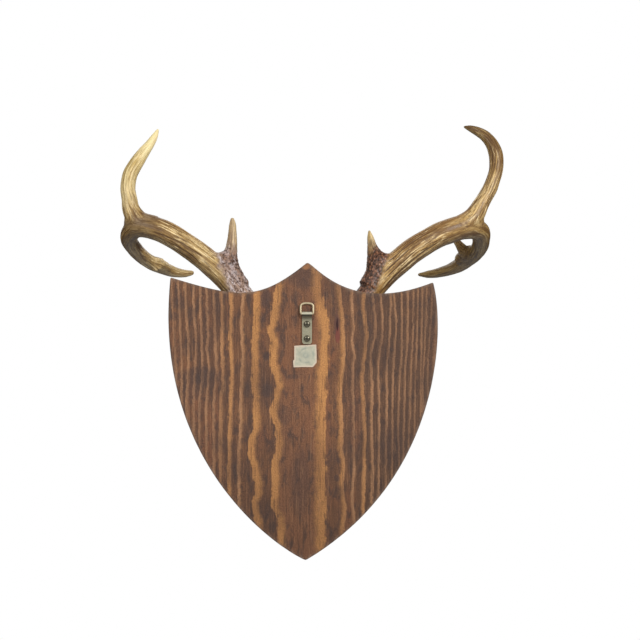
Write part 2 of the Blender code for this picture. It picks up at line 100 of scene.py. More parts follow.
RIGHT_BEAM = [
    (4.4, 2.7, 6.3, 105), (7.4, 4.5, 11.8, 102), (10.5, 6.4, 16.8, 101), (15.0, 7.7, 22.2, 102),
    (19.5, 9.1, 26.9, 104), (24.5, 10.5, 31.5, 107), (32.4, 12.3, 38.1, 108), (43.5, 14.5, 44.7, 105),
    (49.9, 15.9, 47.4, 106), (56.5, 18.2, 49.6, 104), (62.2, 21.4, 49.8, 99), (66.9, 25.9, 48.2, 88),
    (68.5, 32.7, 44.1, 77), (67.9, 40.9, 39.8, 72), (65.0, 50.0, 36.1, 68), (60.4, 59.1, 32.7, 65),
    (55.3, 67.7, 30.0, 55), (48.2, 75.5, 28.1, 42), (43.6, 79.5, 27.6, 33), (39.6, 83.2, 27.6, 19),
]
RIGHT_UPPER_TINE = [
    (49.9, 15.9, 47.4, 96), (56.9, 17.8, 50.4, 95), (63.2, 19.1, 55.1, 86), (67.1, 20.0, 61.6, 70),
    (69.7, 20.9, 65.9, 64), (72.0, 21.8, 70.0, 63), (73.6, 22.7, 74.2, 62), (75.0, 24.1, 78.4, 62),
    (75.6, 25.5, 82.6, 62), (75.6, 26.8, 86.9, 62), (74.6, 28.2, 91.0, 60), (72.9, 29.5, 94.5, 55),
    (70.3, 30.9, 97.6, 49), (66.9, 32.3, 99.9, 41), (63.4, 33.2, 101.5, 29), (60.1, 34.1, 102.5, 13),
]
RIGHT_BROW_TINE = [
    (10.2, 6.2, 18.9, 100), (12.3, 7.2, 23.0, 95), (13.9, 8.2, 27.0, 92), (13.7, 9.1, 32.5, 84),
    (12.1, 10.0, 37.6, 53), (11.2, 10.9, 41.6, 36), (10.7, 11.4, 44.6, 27), (10.2, 12.3, 47.6, 11),
]
RIGHT_EXTRA_TINE = [
    (63.0, 49.0, 36.2, 56), (60.6, 46.8, 39.3, 49), (58.0, 45.5, 42.6, 34), (55.5, 44.5, 46.2, 27),
    (53.4, 44.1, 49.9, 12),
]

# Webs that fill the joins between branches, as antler rows
LEFT_WEBS = [
    LEFT_POINT,
    [(68.6, 18.4, 60.0, 60), (69.2, 19.3, 55.8, 49), (69.6, 20.8, 51.8, 52), (69.3, 23.5, 47.0, 60)],
    [(18.5, 8.2, 29.0, 95), (20.6, 8.6, 31.4, 94), (22.5, 9.0, 31.6, 92)],
    [(60.0, 56.0, 32.4, 62), (57.6, 62.0, 31.9, 58), (55.4, 67.5, 30.6, 50)],
]
RIGHT_WEBS = [
    [(66.3, 19.8, 60.0, 58), (65.7, 20.2, 55.5, 50), (66.0, 21.8, 51.5, 53), (66.6, 25.0, 48.0, 62)],
    [(13.8, 8.4, 29.0, 95), (15.0, 8.8, 31.2, 94), (17.0, 9.1, 31.4, 91)],
    [(64.5, 46.0, 38.8, 60), (62.2, 50.5, 37.2, 60), (59.8, 54.0, 35.0, 58)],
]

# How an antler changes along each branch: a share of its length, how pale, how olive and how grooved it is
LEFT_TONES = {
    "beam": [(0.0, 0.12, 0.0, 1.0), (0.20, 0.32, 0.0, 1.0), (0.42, 0.26, 0.0, 1.0), (0.50, 0.0, 0.80, 0.8),
             (0.60, 0.0, 0.85, 0.6), (0.69, 0.05, 0.45, 0.5), (0.78, 0.35, 0.15, 0.35),
             (0.90, 0.35, 0.10, 0.25), (1.0, 0.20, 0.25, 0.1)],
    "upper": [(0.0, 0.0, 0.75, 0.3), (0.14, 0.05, 0.60, 0.3), (0.26, 0.40, 0.10, 0.45),
              (0.36, 0.66, 0.0, 0.7), (0.60, 0.80, 0.0, 0.7), (0.85, 0.96, 0.0, 0.2), (1.0, 1.0, 0.0, 0.0)],
    "brow": [(0.0, 0.0, 0.0, 0.5), (0.50, 0.05, 0.0, 0.5), (0.72, 0.35, 0.10, 0.4), (1.0, 0.50, 0.20, 0.1)],
}
RIGHT_TONES = {
    "beam": [(0.0, 0.0, 0.24, 1.1), (0.16, 0.02, 0.12, 1.1), (0.28, 0.14, 0.04, 1.0),
             (0.40, 0.14, 0.14, 0.9), (0.48, 0.0, 0.50, 0.7), (0.62, 0.0, 0.92, 0.4),
             (1.0, 0.0, 0.95, 0.2)],
    "upper": [(0.0, 0.06, 0.30, 0.5), (0.18, 0.22, 0.06, 0.8), (0.50, 0.24, 0.08, 1.0),
              (0.74, 0.0, 0.75, 0.6), (1.0, 0.0, 1.0, 0.1)],
    "brow": [(0.0, 0.0, 0.0, 0.4), (0.60, 0.05, 0.0, 0.4), (0.78, 0.45, 0.05, 0.3), (1.0, 0.55, 0.05, 0.0)],
    "extra": [(0.0, 0.0, 0.90, 0.2), (0.6, 0.05, 0.60, 0.2), (1.0, 0.20, 0.30, 0.1)],
}

# Where branches meet: a place like an antler row's, how far the join spreads, and how much it fills
LEFT_FORKS = [
    ((66.0, 18.5, 51.5), 0.044, 500), ((18.0, 8.0, 28.0), 0.034, 320), ((59.0, 59.0, 33.5), 0.024, 260),
]
RIGHT_FORKS = [
    ((62.0, 19.5, 51.5), 0.044, 500), ((14.0, 8.0, 28.0), 0.034, 320), ((62.0, 49.0, 37.0), 0.020, 160),
]

# Pearled is how far inwards the pearls on the beam begin, in millimetres, and the share after it is how pale
# and grey the pearled base is, how strong the painted lilac highlights on it are, and how strong the painted
# shade in the crotches is
LEFT_ANTLER = dict(side=1, beam=LEFT_BEAM, tines={"upper": LEFT_UPPER_TINE, "brow": LEFT_BROW_TINE},
                   webs=LEFT_WEBS, forks=LEFT_FORKS, tones=LEFT_TONES, pearled=-16, bleached=1.0, seed=100)
RIGHT_ANTLER = dict(side=-1, beam=RIGHT_BEAM,
                    tines={"upper": RIGHT_UPPER_TINE, "brow": RIGHT_BROW_TINE, "extra": RIGHT_EXTRA_TINE},
                    webs=RIGHT_WEBS, forks=RIGHT_FORKS, tones=RIGHT_TONES,
                    pearled=-8, bleached=0.10, seed=300)
ANTLER_VOXEL = 0.80 * MM
GROOVE_SPACING = 5.4 * MM
FINE_SPACING = 2.5 * MM
GROOVE_DEPTH = 0.85 * MM
FINE_DEPTH = 0.36 * MM
PEARL_HEIGHT = 0.85 * MM
KNOB_HEIGHT = 1.9 * MM

# Cap
CAP_HALF_WIDTH = 0.060
CAP_HALF_HEIGHT = 0.050
CAP_DEPTH = 0.038
CAP_BELOW_ORIGIN = 0.052
CAP_VOXEL = 1.15 * MM
CAP_JOIN_REACH = 0.070
PEDICLE_RADIUS = 0.0160
PEDICLE_FLARE = 0.0230
PEDICLE_LENGTH = 0.030

# Hanger
TOUCH_GAP = 0.0003
WIRE_RADIUS = 0.0011
RING_WIDTH = 0.0156
RING_HEIGHT = 0.0134
RING_CORNER_RADIUS = 0.0012
STRAP_WIDTH = 0.0104
SHEET_THICKNESS = 0.0009
STRAP_END_RADIUS = 0.0030
SCREW_HEAD_RADIUS = 0.0035
SCREW_HEAD_HEIGHT = 0.0022
WIRE_CLEARANCE = 0.00025
RING_REST_GAP = 0.0004
FOLD_RADIUS = WIRE_RADIUS + WIRE_CLEARANCE + SHEET_THICKNESS
RING_REACH = RING_HEIGHT - 2 * WIRE_RADIUS
RING_LEAN = math.asin((TOUCH_GAP + FOLD_RADIUS - WIRE_RADIUS - RING_REST_GAP) / RING_REACH)
BAR = np.array([0.0, TOUCH_GAP + FOLD_RADIUS, -(RING_REACH - WIRE_RADIUS) * math.cos(RING_LEAN)])

# Tape
TAPE_WIDTH = 0.0234
TAPE_HEIGHT = 0.0240
TAPE_THICKNESS = 0.16 * MM
TAPE_SKIN = 0.42 * MM
TAPE_OUTLINE = [
    (-0.420, -0.012), (0.580, 0.046), (0.580, 0.670), (0.636, 0.690), (0.618, 1.000),
    (-0.266, 0.992), (-0.437, 0.800), (-0.441, 0.450),
]

# Camera and floor
CAMERA_PLACE = (-0.0138, 1.8, -0.0168)
IMAGE_WIDTH = 640
PIXEL = 0.001064
SENSOR_WIDTH = 36.0
FLOOR_HALF_WIDTH = 1.20
FLOOR_HEIGHT = -0.62


# Numbers on points

def lattice(cell, seed):
    """A fixed pseudo-random value from -1 to 1 at each whole-numbered place."""
    mix = cell[:, 0] * 374761393 + cell[:, 1] * 668265263 + cell[:, 2] * 1442695041 + seed * 974634777
    mix = (mix ^ (mix >> 13)) & 0xFFFFFFFF
    mix = (mix * 1274126177) & 0xFFFFFFFF
    mix = mix ^ (mix >> 16)
    return (mix & 0xFFFF) / 32767.5 - 1.0


def noise(points, seed=0):
    """Smooth noise from -1 to 1 at each point, with cells of size 1."""
    points = np.asarray(points, float)
    cell = np.floor(points).astype(np.int64)
    part = points - cell
    ease = part ** 3 * (part * (part * 6 - 15) + 10)
    total = np.zeros(len(points))
    for corner in range(8):
        step = np.array([corner & 1, corner >> 1 & 1, corner >> 2 & 1])
        weight = np.where(step, ease, 1 - ease).prod(axis=1)
        total += weight * lattice(cell + step, seed)
    return total


def pebbles(points, seed=0):
    """Rounded bumps from 0 to 1 packed at each point, with cells of size 1."""
    cell = np.floor(points).astype(np.int64)
    nearest = np.full(len(points), 9.0)
    for corner in range(27):
        place = cell + np.array([corner % 3 - 1, corner // 3 % 3 - 1, corner // 9 - 1])
        centre = place + 0.5 + 0.42 * np.stack([lattice(place, seed + axis) for axis in range(3)], axis=1)
        nearest = np.minimum(nearest, ((points - centre) ** 2).sum(axis=1))
    return np.clip(1.0 - nearest / 0.42, 0.0, 1.0)


def ramp(value, low, high):
    """0 below low, 1 above high, eased between."""
    share = np.clip((value - low) / (high - low), 0.0, 1.0)
    return share * share * (3 - 2 * share)


def smooth_line(rows, steps):
    """A smooth line through rows of numbers, with steps pieces between neighbours."""
    rows = np.array(rows, float)
    padded = np.vstack([2 * rows[0] - rows[1], rows, 2 * rows[-1] - rows[-2]])
    t = np.arange(steps)[:, None] / steps
    drawn = []
    for p, q, r, s in zip(padded, padded[1:], padded[2:], padded[3:]):
        drawn.append(0.5 * (2 * q + (r - p) * t + (2 * p - 5 * q + 4 * r - s) * t * t
                            + (3 * q - p - 3 * r + s) * t ** 3))
    drawn.append(rows[-1:])
    return np.vstack(drawn)


def unit(vectors):
    return vectors / np.maximum(np.linalg.norm(vectors, axis=-1, keepdims=True), 1e-12)


def lengths_along(line):
    """The length along a line at each of its points."""
    return np.concatenate([[0.0], np.cumsum(np.linalg.norm(np.diff(line, axis=0), axis=1))])


def least_distance(points, places):
    """How far each point is from the nearest of some places."""
    near = np.full(len(points), 1e9)
    for start in range(0, len(places), 64):
        part = places[start:start + 64]
        near = np.minimum(near, np.linalg.norm(points[:, None] - part[None], axis=2).min(axis=1))
    return near


def upright(flat, depth):
    """Points given as (x, z) pairs, at a depth along y."""
    return np.stack([flat[:, 0], depth + 0 * flat[:, 0], flat[:, 1]], axis=1)


def wrapped(angle, girth, along):
    """Places round and along a tube, so that noise there meets itself where the angle starts again."""
    return np.stack([np.cos(angle) * girth, np.sin(angle) * girth, along], axis=1)


def bell(value, centre, width):
    return np.exp(-((value - centre) / width) ** 2)


def line_frames(points, closed=False):
    """Directions along a line and two across it that don't twist."""
    if closed:
        along = unit(np.roll(points, -1, axis=0) - np.roll(points, 1, axis=0))
    else:
        along = unit(np.gradient(points, axis=0))
    start = np.array([0.0, 1.0, 0.0]) if abs(along[0][1]) < 0.9 else np.array([1.0, 0.0, 0.0])
    across = [unit(start - along[0] * (along[0] @ start))]
    for direction in along[1:]:
        previous = across[-1]
        across.append(unit(previous - direction * (direction @ previous)))
    across = np.array(across)
    return along, across, np.cross(along, across)


# Meshes

def make_piece(name, verts, faces, material, smooth_angle=None, **numbers):
    """A smooth object with each of the named numbers at its points."""
    mesh = bpy.data.meshes.new(name)
    mesh.from_pydata(np.asarray(verts).tolist(), [], faces)
    mesh.validate()
    mesh.update()
    piece = bpy.data.objects.new(name, mesh)
    bpy.context.scene.collection.objects.link(piece)
    mesh.materials.append(material)
    mesh.shade_smooth()
    if smooth_angle is not None:
        mesh.set_sharp_from_angle(angle=math.radians(smooth_angle))
    for label, values in numbers.items():
        mesh.attributes.new(label, "FLOAT", "POINT").data.foreach_set("value", np.asarray(values, np.float32))
    return piece


def settle(piece, body, node):
    """A finished piece rides on a body and stands for one solid of the frame."""
    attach(piece, body)
    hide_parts(node)


def evaluated_mesh(obj):
    """The object's mesh with its modifiers applied."""
    bpy.context.view_layer.update()
    return bpy.data.meshes.new_from_object(obj.evaluated_get(bpy.context.evaluated_depsgraph_get()))


def turn_faces_out(piece):
    work = bmesh.new()
    work.from_mesh(piece.data)
    bmesh.ops.recalc_face_normals(work, faces=work.faces)
    work.to_mesh(piece.data)
    work.free()
    return piece


def ring_faces(rings, sides, closed=False):
    """Faces between rings of points that follow each other."""
    faces = []
    for i in range(rings if closed else rings - 1):
        n = (i + 1) % rings
        for j in range(sides):
            k = (j + 1) % sides
            faces.append((i * sides + j, i * sides + k, n * sides + k, n * sides + j))
    return faces


def end_faces(rings, sides):
    return [tuple(range(sides))[::-1], tuple(range((rings - 1) * sides, rings * sides))]


def sweep(points, radii, sides, closed=False):
    """Rings of points round a line and the faces between them."""
    _, across, beside = line_frames(points, closed)
    turn = np.arange(sides) * math.tau / sides
    ring = np.cos(turn)[None, :, None] * across[:, None] + np.sin(turn)[None, :, None] * beside[:, None]
    verts = (points[:, None] + ring * radii[:, None, None]).reshape(-1, 3)
    ends = [] if closed else end_faces(len(points), sides)
    return verts, ring_faces(len(points), sides, closed) + ends


def joined(parts):
    """Several lists of points and faces as one."""
    verts, faces, start = [], [], 0
    for part_verts, part_faces in parts:
        verts.append(part_verts)
        faces += [tuple(i + start for i in face) for face in part_faces]
        start += len(part_verts)
    return np.vstack(verts), faces


def remeshed(verts, faces, voxel):
    """The outer skin of overlapping closed shapes as one even mesh: points, quads and edges."""
    mesh = bpy.data.meshes.new("shell")
    mesh.from_pydata(verts.tolist(), [], faces)
    shell = bpy.data.objects.new("shell", mesh)
    bpy.context.scene.collection.objects.link(shell)
    skin = shell.modifiers.new("skin", "REMESH")
    skin.mode = "VOXEL"
    skin.voxel_size = voxel
    done = evaluated_mesh(shell)
    bpy.data.objects.remove(shell, do_unlink=True)
    bpy.data.meshes.remove(mesh)
    points = np.zeros(len(done.vertices) * 3)
    done.vertices.foreach_get("co", points)
    quads = np.array([tuple(face.vertices) for face in done.polygons])
    edges = np.zeros(len(done.edges) * 2, np.int64)
    done.edges.foreach_get("vertices", edges)
    bpy.data.meshes.remove(done)
    return points.reshape(-1, 3), quads, edges.reshape(-1, 2)


def normals_of(points, quads):
    across = np.cross(points[quads[:, 2]] - points[quads[:, 0]], points[quads[:, 3]] - points[quads[:, 1]])
    flat = quads.ravel()
    spread = np.repeat(across, 4, axis=0)
    total = np.stack([np.bincount(flat, spread[:, i], len(points)) for i in range(3)], axis=1)
    return unit(total)


def neighbour_mean(points, edges):
    ends = np.concatenate([edges[:, 0], edges[:, 1]])
    others = np.concatenate([edges[:, 1], edges[:, 0]])
    count = np.maximum(np.bincount(ends, minlength=len(points)), 1)
    total = [np.bincount(ends, column[others], len(points)) for column in points.T]
    return np.stack(total, axis=1) / count[:, None]


def relax(points, edges, rounds, share=0.5):
    for _ in range(rounds):
        points = points + (neighbour_mean(points, edges) - points) * share
    return points


def fill_creases(points, quads, edges, chosen, rounds):
    """Smooth the chosen points outwards only, so hollows between branches fill and round places stay."""
    near = chosen.copy()
    near[edges[chosen[edges[:, 0]], 1]] = True
    near[edges[chosen[edges[:, 1]], 0]] = True
    number = np.cumsum(near) - 1
    inner_edges = number[edges[near[edges].all(axis=1)]]
    inner_quads = number[quads[near[quads].all(axis=1)]]
    part = points[near]
    free = chosen[near]
    for turn in range(rounds):
        if turn % 8 == 0:
            normals = normals_of(part, inner_quads)
        pull = neighbour_mean(part, inner_edges) - part
        lift = np.maximum((pull * normals).sum(axis=1), 0.0) * free
        part = part + normals * lift[:, None] * 0.9
    points = points.copy()
    points[near] = part
    return points


def within(points, place, reach):
    return np.linalg.norm(points - place, axis=1) < reach


# Materials

class Field:
    """A number or colour that changes over a surface: an output of one of a node tree's nodes."""

    def __init__(self, nodes, socket):
        self.nodes, self.socket = nodes, socket

    def __add__(self, other):
        return self.nodes.math("ADD", self, other)

    def __sub__(self, other):
        return self.nodes.math("SUBTRACT", self, other)

    def __mul__(self, other):
        return self.nodes.math("MULTIPLY", self, other)

    def __abs__(self):
        return self.nodes.math("ABSOLUTE", self, 0.0)

    def most(self, other):
        return self.nodes.math("MAXIMUM", self, other)

    def spread(self, low, high, to_low=0.0, to_high=1.0):
        """This number eased from to_low, where it is low, to to_high, where it is high."""
        inputs = dict(enumerate((self, low, high, to_low, to_high)))
        return self.nodes.add("MapRange", inputs, interpolation_type="SMOOTHSTEP")

    def under(self, *layers):
        """This colour with other colours laid over it one by one, each with its share."""
        colour = self
        for share, tone in layers:
            colour = self.nodes.mix(share, colour, tone)
        return colour

    def shaded(self, *amounts):
        """This colour made darker or lighter by each amount."""
        colour = self
        for amount in amounts:
            colour = self.nodes.mix(1.0, colour, amount, "MULTIPLY")
        return colour


class Nodes:
    """A node tree whose nodes are added as fields."""

    def __init__(self, tree):
        self.tree = tree

    def put(self, socket, value):
        if isinstance(value, Field):
            self.tree.links.new(value.socket, socket)
        elif socket.type == "RGBA" and len(value) == 3:
            socket.default_value = (*value, 1.0)
        else:
            socket.default_value = value

    def add(self, kind, inputs, output=0, **settings):
        node = self.tree.nodes.new("ShaderNode" + kind)
        for name, value in settings.items():
            setattr(node, name, value)
        for name, value in inputs.items():
            self.put(node.inputs[name], value)
        return Field(self, node.outputs[output])

    def math(self, operation, a, b):
        return self.add("Math", {0: a, 1: b}, operation=operation)

    def mix(self, share, a, b, blend="MIX"):
        inputs = {0: share, 6: a, 7: b}
        return self.add("Mix", inputs, 2, data_type="RGBA", blend_type=blend, clamp_factor=True)

    def axis(self, index, vector):
        return self.add("SeparateXYZ", {0: vector}, index)


class Paint(Nodes):
    """A material, built up from its Principled BSDF."""

    def __init__(self, name):
        self.material = bpy.data.materials.new(name)
        self.material.use_nodes = True
        super().__init__(self.material.node_tree)
        self.shader = self.tree.nodes["Principled BSDF"]
        self.place = self.add("TexCoord", {}, "Object")

    def scaled(self, sizes, vector, shift):
        """A vector shifted by one amount and then scaled, by one size or by one along each axis."""
        vector = vector or self.place
        if shift:
            vector = self.add("VectorMath", {0: vector, 1: (shift,) * 3}, operation="ADD")
        sizes = sizes if isinstance(sizes, tuple) else (sizes,) * 3
        return self.add("VectorMath", {0: vector, 1: sizes}, operation="MULTIPLY")

    def noise(self, sizes, detail=2.0, rough=0.5, vector=None, distortion=0.0, shift=0.0):
        """Noise from 0 to 1 whose cells per metre along x, y and z are sizes."""
        inputs = {"Vector": self.scaled(sizes, vector, shift), "Scale": 1.0, "Detail": detail,
                  "Roughness": rough, "Distortion": distortion}
        return self.add("TexNoise", inputs, "Fac")

    def cells(self, sizes, feature="F1"):
        inputs = {"Vector": self.scaled(sizes, None, 0.0), "Scale": 1.0}
        return self.add("TexVoronoi", inputs, "Distance", feature=feature)

    def number(self, name, output="Fac"):
        return self.add("Attribute", {}, output, attribute_name=name)

    def finished(self, relief=None, **values):
        """The material with its shader's inputs set, and a relief's height, depth and strength."""
        for name, value in values.items():
            self.put(self.shader.inputs[name.replace("_", " ")], value)
        if relief:
            inputs = dict(zip(("Height", "Distance", "Strength"), relief))
            self.put(self.shader.inputs["Normal"], self.add("Bump", inputs, "Normal"))
        return self.material


# Board: light growth bands, counted outwards from the middle. A row is the band's width, its strength and its
# line as heights and places to the left of the hanging point, in millimetres.
LEFT_BANDS = [
    (8.0, 1.0, [(17, 30.1), (-3, 34.3), (-19, 36.2), (-27, 39.4), (-39, 35.3), (-59, 36.7), (-74, 33.2),
                (-85, 30.1), (-98, 32.3), (-114, 36.2), (-131, 31.4), (-154, 30.2), (-171, 34.8),
                (-194, 33.8), (-212, 36.0), (-228, 29.1), (-246, 27.9)]),
    (8.5, 1.0, [(12, 54.6), (-8, 54.6), (-39, 56.1), (-98, 55.7), (-131, 54.5), (-142, 59.1), (-159, 60.3),
                (-176, 55.6), (-200, 52.2), (-212, 56.7), (-232, 52.2)]),
    (2.8, 0.75, [(12, 67.8), (-14, 69.9), (-39, 69.4), (-59, 68.9), (-102, 70.8), (-131, 70.6),
                 (-159, 72.9), (-205, 72.9)]),
    (4.6, 0.95, [(12, 81.1), (-19, 81.1), (-39, 82.1), (-70, 80.0), (-100, 81.4), (-123, 82.2),
                 (-194, 83.2)]),
    (3.6, 0.80, [(12, 91.7), (-19, 90.8), (-49, 90.8), (-86, 89.9), (-104, 92.0), (-176, 92.6)]),
    (2.8, 0.80, [(12, 99.4), (-19, 99.0), (-49, 97.4), (-75, 96.9), (-104, 99.4), (-166, 99.4)]),
    (2.6, 0.80, [(14, 107.1), (-19, 106.4), (-33, 105.6), (-49, 106.4), (-70, 104.7), (-104, 107.5)]),
    (2.4, 0.70, [(14, 113.7), (-14, 113.7), (-39, 112.2), (-70, 111.8), (-104, 114.9)]),
    (2.4, 0.75, [(14, 121.3), (-4, 120.8), (-30, 118.8), (-54, 118.8), (-104, 120.8)]),
    (2.8, 0.75, [(22, 130.3), (-8, 128.8), (-34, 127.0), (-70, 126.4), (-104, 128.2)]),
    (2.2, 0.60, [(22, 137.6), (-6, 136.0), (-65, 133.6)]),
    (2.0, 0.50, [(12, 144.2), (-27, 142.2), (-68, 139.4)]),
]
RIGHT_BANDS = [
    (12.0, 0.95, [(17, -11.7), (1, -14.9), (-19, -19.1), (-39, -20.2), (-59, -19.1), (-80, -17.0),
                  (-100, -17.0), (-114, -14.9), (-134, -15.9), (-228, -15.9)]),
    (4.2, 0.78, [(17, -34.0), (-8, -37.2), (-34, -38.3), (-44, -39.3), (-70, -38.3), (-90, -36.1),
                 (-114, -36.1), (-136, -37.2), (-154, -36.1), (-171, -39.3), (-194, -37.2), (-217, -40.4),
                 (-238, -38.3)]),
    (2.6, 0.80, [(12, -47.8), (-8, -48.5), (-24, -49.6), (-39, -47.8), (-54, -50.5), (-75, -48.9),
                 (-124, -50.0), (-176, -50.0), (-205, -48.2), (-226, -50.0)]),
    (4.4, 0.80, [(10, -60.6), (-8, -60.2), (-27, -63.8), (-44, -62.7), (-70, -59.6), (-85, -58.5),
                 (-103, -60.1), (-136, -61.5), (-159, -61.5), (-194, -60.3)]),
    (2.6, 0.70, [(7, -70.2), (-19, -73.0), (-37, -71.9), (-50, -68.9), (-70, -68.4), (-90, -69.4),
                 (-136, -68.9), (-171, -70.1), (-205, -68.9)]),
    (2.2, 0.72, [(9, -78.1), (-8, -80.1), (-34, -80.1), (-54, -77.0), (-75, -76.0), (-100, -76.8),
                 (-136, -77.0), (-171, -76.4)]),
    (2.2, 0.70, [(1, -89.3), (-30, -88.3), (-54, -86.2), (-75, -84.7), (-100, -85.1), (-144, -84.2)]),
    (2.0, 0.68, [(1, -93.3), (-24, -95.4), (-44, -93.3), (-70, -91.8), (-102, -91.3), (-171, -90.8)]),
    (2.0, 0.62, [(9, -101.0), (-44, -101.0), (-75, -98.9), (-102, -97.9), (-136, -97.1), (-166, -98.3)]),
    (2.2, 0.60, [(1, -107.4), (-44, -106.6), (-70, -104.6), (-100, -104.0), (-150, -102.6)]),
    (1.8, 0.55, [(1, -113.2), (-30, -112.8), (-102, -109.6), (-148, -108.5)]),
    (1.8, 0.50, [(1, -118.1), (-39, -117.0), (-70, -115.9), (-124, -114.5)]),
    (1.8, 0.50, [(1, -122.9), (-39, -121.8), (-81, -121.3)]),
    (1.8, 0.45, [(-4, -127.6), (-39, -125.5), (-80, -123.4)]),
    (1.6, 0.40, [(12, -133.5), (-19, -131.9), (-59, -128.7)]),
]
GRAIN_MIDDLE = 7.0
GRAIN_SLANT = 0.35


def grain_numbers(points):
    """At each point: bands counted outwards, the space between them, and their width and strength."""
    x = points[:, 0] / MM + GRAIN_SLANT * points[:, 1] / MM
    z = points[:, 2] / MM
    results = []
    for rows, sign in ((LEFT_BANDS, 1.0), (RIGHT_BANDS, -1.0)):
        outwards = (x - GRAIN_MIDDLE) * sign
        lines = [np.zeros(len(points))]
        for _, _, line in rows:
            drawn = smooth_line(line, 6)[::-1]
            lines.append(np.interp(z, drawn[:, 0], (drawn[:, 1] - GRAIN_MIDDLE) * sign))
        lines.append(lines[-1] + 6.0)
        count = np.zeros(len(points))
        space = np.full(len(points), 10.0)
        for inner, outer in zip(lines, lines[1:]):
            gap = np.maximum(outer - inner, 0.5)
            count += np.clip((outwards - inner) / gap, 0.0, 1.0)
            space = np.where(outwards > inner, gap, space)
        which = np.arange(len(rows)) + 1
        width = np.interp(count, which, [row[0] for row in rows])
        strength = np.interp(count, [0.30, 0.50, *which[1:]], [0.0, *[row[1] for row in rows]])
        results.append((count, space, width, strength, outwards > 0))
    return [np.where(results[0][4], a, b) for a, b in zip(results[0][:4], results[1][:4])]


def grain_relief(points):
    """How light, and so how hard and proud, the wood is at each point."""
    count, space, width, strength = grain_numbers(points)
    offset = (np.mod(count + 0.5, 1.0) - 0.5) * space
    rise = ramp(offset, -1.1 * width, -0.1 * width)
    return strength * rise * (1 - ramp(offset, 0.35 * width, 0.55 * width))


def board_loop(steps):
    """The shield's edge as (x, z) points, from its top down the left side and up the right one."""
    def edge(width, stretches):
        points = []
        start = (0.0, 0.0)
        t = np.arange(steps)[:, None] / steps
        for stretch in stretches:
            a, b, c, d = (np.array([width * across, APEX_ABOVE_ORIGIN - BOARD_HEIGHT * down])
                          for across, down in (start, *stretch))
            points.append((1 - t) ** 3 * a + 3 * (1 - t) ** 2 * t * b + 3 * (1 - t) * t ** 2 * c + t ** 3 * d)
            start = stretch[-1]
        return np.vstack([*points, d])

    return np.vstack([edge(BOARD_LEFT_WIDTH, LEFT_EDGE), edge(-BOARD_RIGHT_WIDTH, RIGHT_EDGE)[-2:0:-1]])


def even_points(line, spacing, closed=False):
    """The same line with points at even spacing."""
    if closed:
        line = np.vstack([line, line[:1]])
    length = lengths_along(line)
    count = int(length[-1] / spacing)
    at = np.arange(count) * length[-1] / count if closed else np.linspace(0.0, length[-1], count + 1)
    return np.stack([np.interp(at, length, column) for column in line.T], axis=1)


def rounded_loop(loop, rounds):
    """Ease the corners of a closed line."""
    for _ in range(rounds):
        loop = loop + (0.5 * (np.roll(loop, 1, axis=0) + np.roll(loop, -1, axis=0)) - loop) * 0.5
    return loop


def loop_inwards(loop):
    """Unit directions that point into a closed line."""
    along = np.roll(loop, -1, axis=0) - np.roll(loop, 1, axis=0)
    side = unit(np.stack([-along[:, 1], along[:, 0]], axis=1))
    area = 0.5 * np.sum(loop[:, 0] * np.roll(loop[:, 1], -1) - np.roll(loop[:, 0], -1) * loop[:, 1])
    return side * np.sign(area)


def bend_radius(loop):
    """How tightly a closed line bends at each point, evened out between neighbours."""
    before, after = loop - np.roll(loop, 1, axis=0), np.roll(loop, -1, axis=0) - loop
    cross = before[:, 0] * after[:, 1] - before[:, 1] * after[:, 0]
    turned = np.abs(np.arctan2(cross, (before * after).sum(axis=1)))
    radius = np.linalg.norm(after, axis=1) / np.maximum(turned, 1e-3)
    for _ in range(3):
        radius = np.minimum(radius, np.minimum(np.roll(radius, 1), np.roll(radius, -1)) * 1.4)
    return radius


def inside_loop(points, loop):
    """Which points lie inside a closed line."""
    inside = np.zeros(len(points), bool)
    for (x0, y0), (x1, y1) in zip(loop, np.roll(loop, -1, axis=0)):
        if y0 != y1:
            crosses = (y0 > points[:, 1]) != (y1 > points[:, 1])
            inside ^= crosses & (points[:, 0] < (x1 - x0) * (points[:, 1] - y0) / (y1 - y0) + x0)
    return inside


def filled(loop, across, down):
    """Points and triangles that fill a closed line, with a grid of points inside it."""
    low, high = loop.min(axis=0), loop.max(axis=0)
    columns, rows = np.arange(low[0], high[0], across), np.arange(low[1], high[1], down)
    grid = np.stack(np.meshgrid(columns, rows), axis=-1)
    grid[1::2, :, 0] += across / 2
    grid = grid.reshape(-1, 2)
    grid = grid[inside_loop(grid, loop) & (least_distance(grid, loop) > 0.75 * across)]
    points = np.vstack([loop, grid])
    edges = [(i, (i + 1) % len(loop)) for i in range(len(loop))]
    done = geometry.delaunay_2d_cdt([Vector(point) for point in points], edges, [], 1, 1e-7)
    order = [origin[0] for origin in done[3]]
    return points, [tuple(order[i] for i in triangle) for triangle in done[2]]


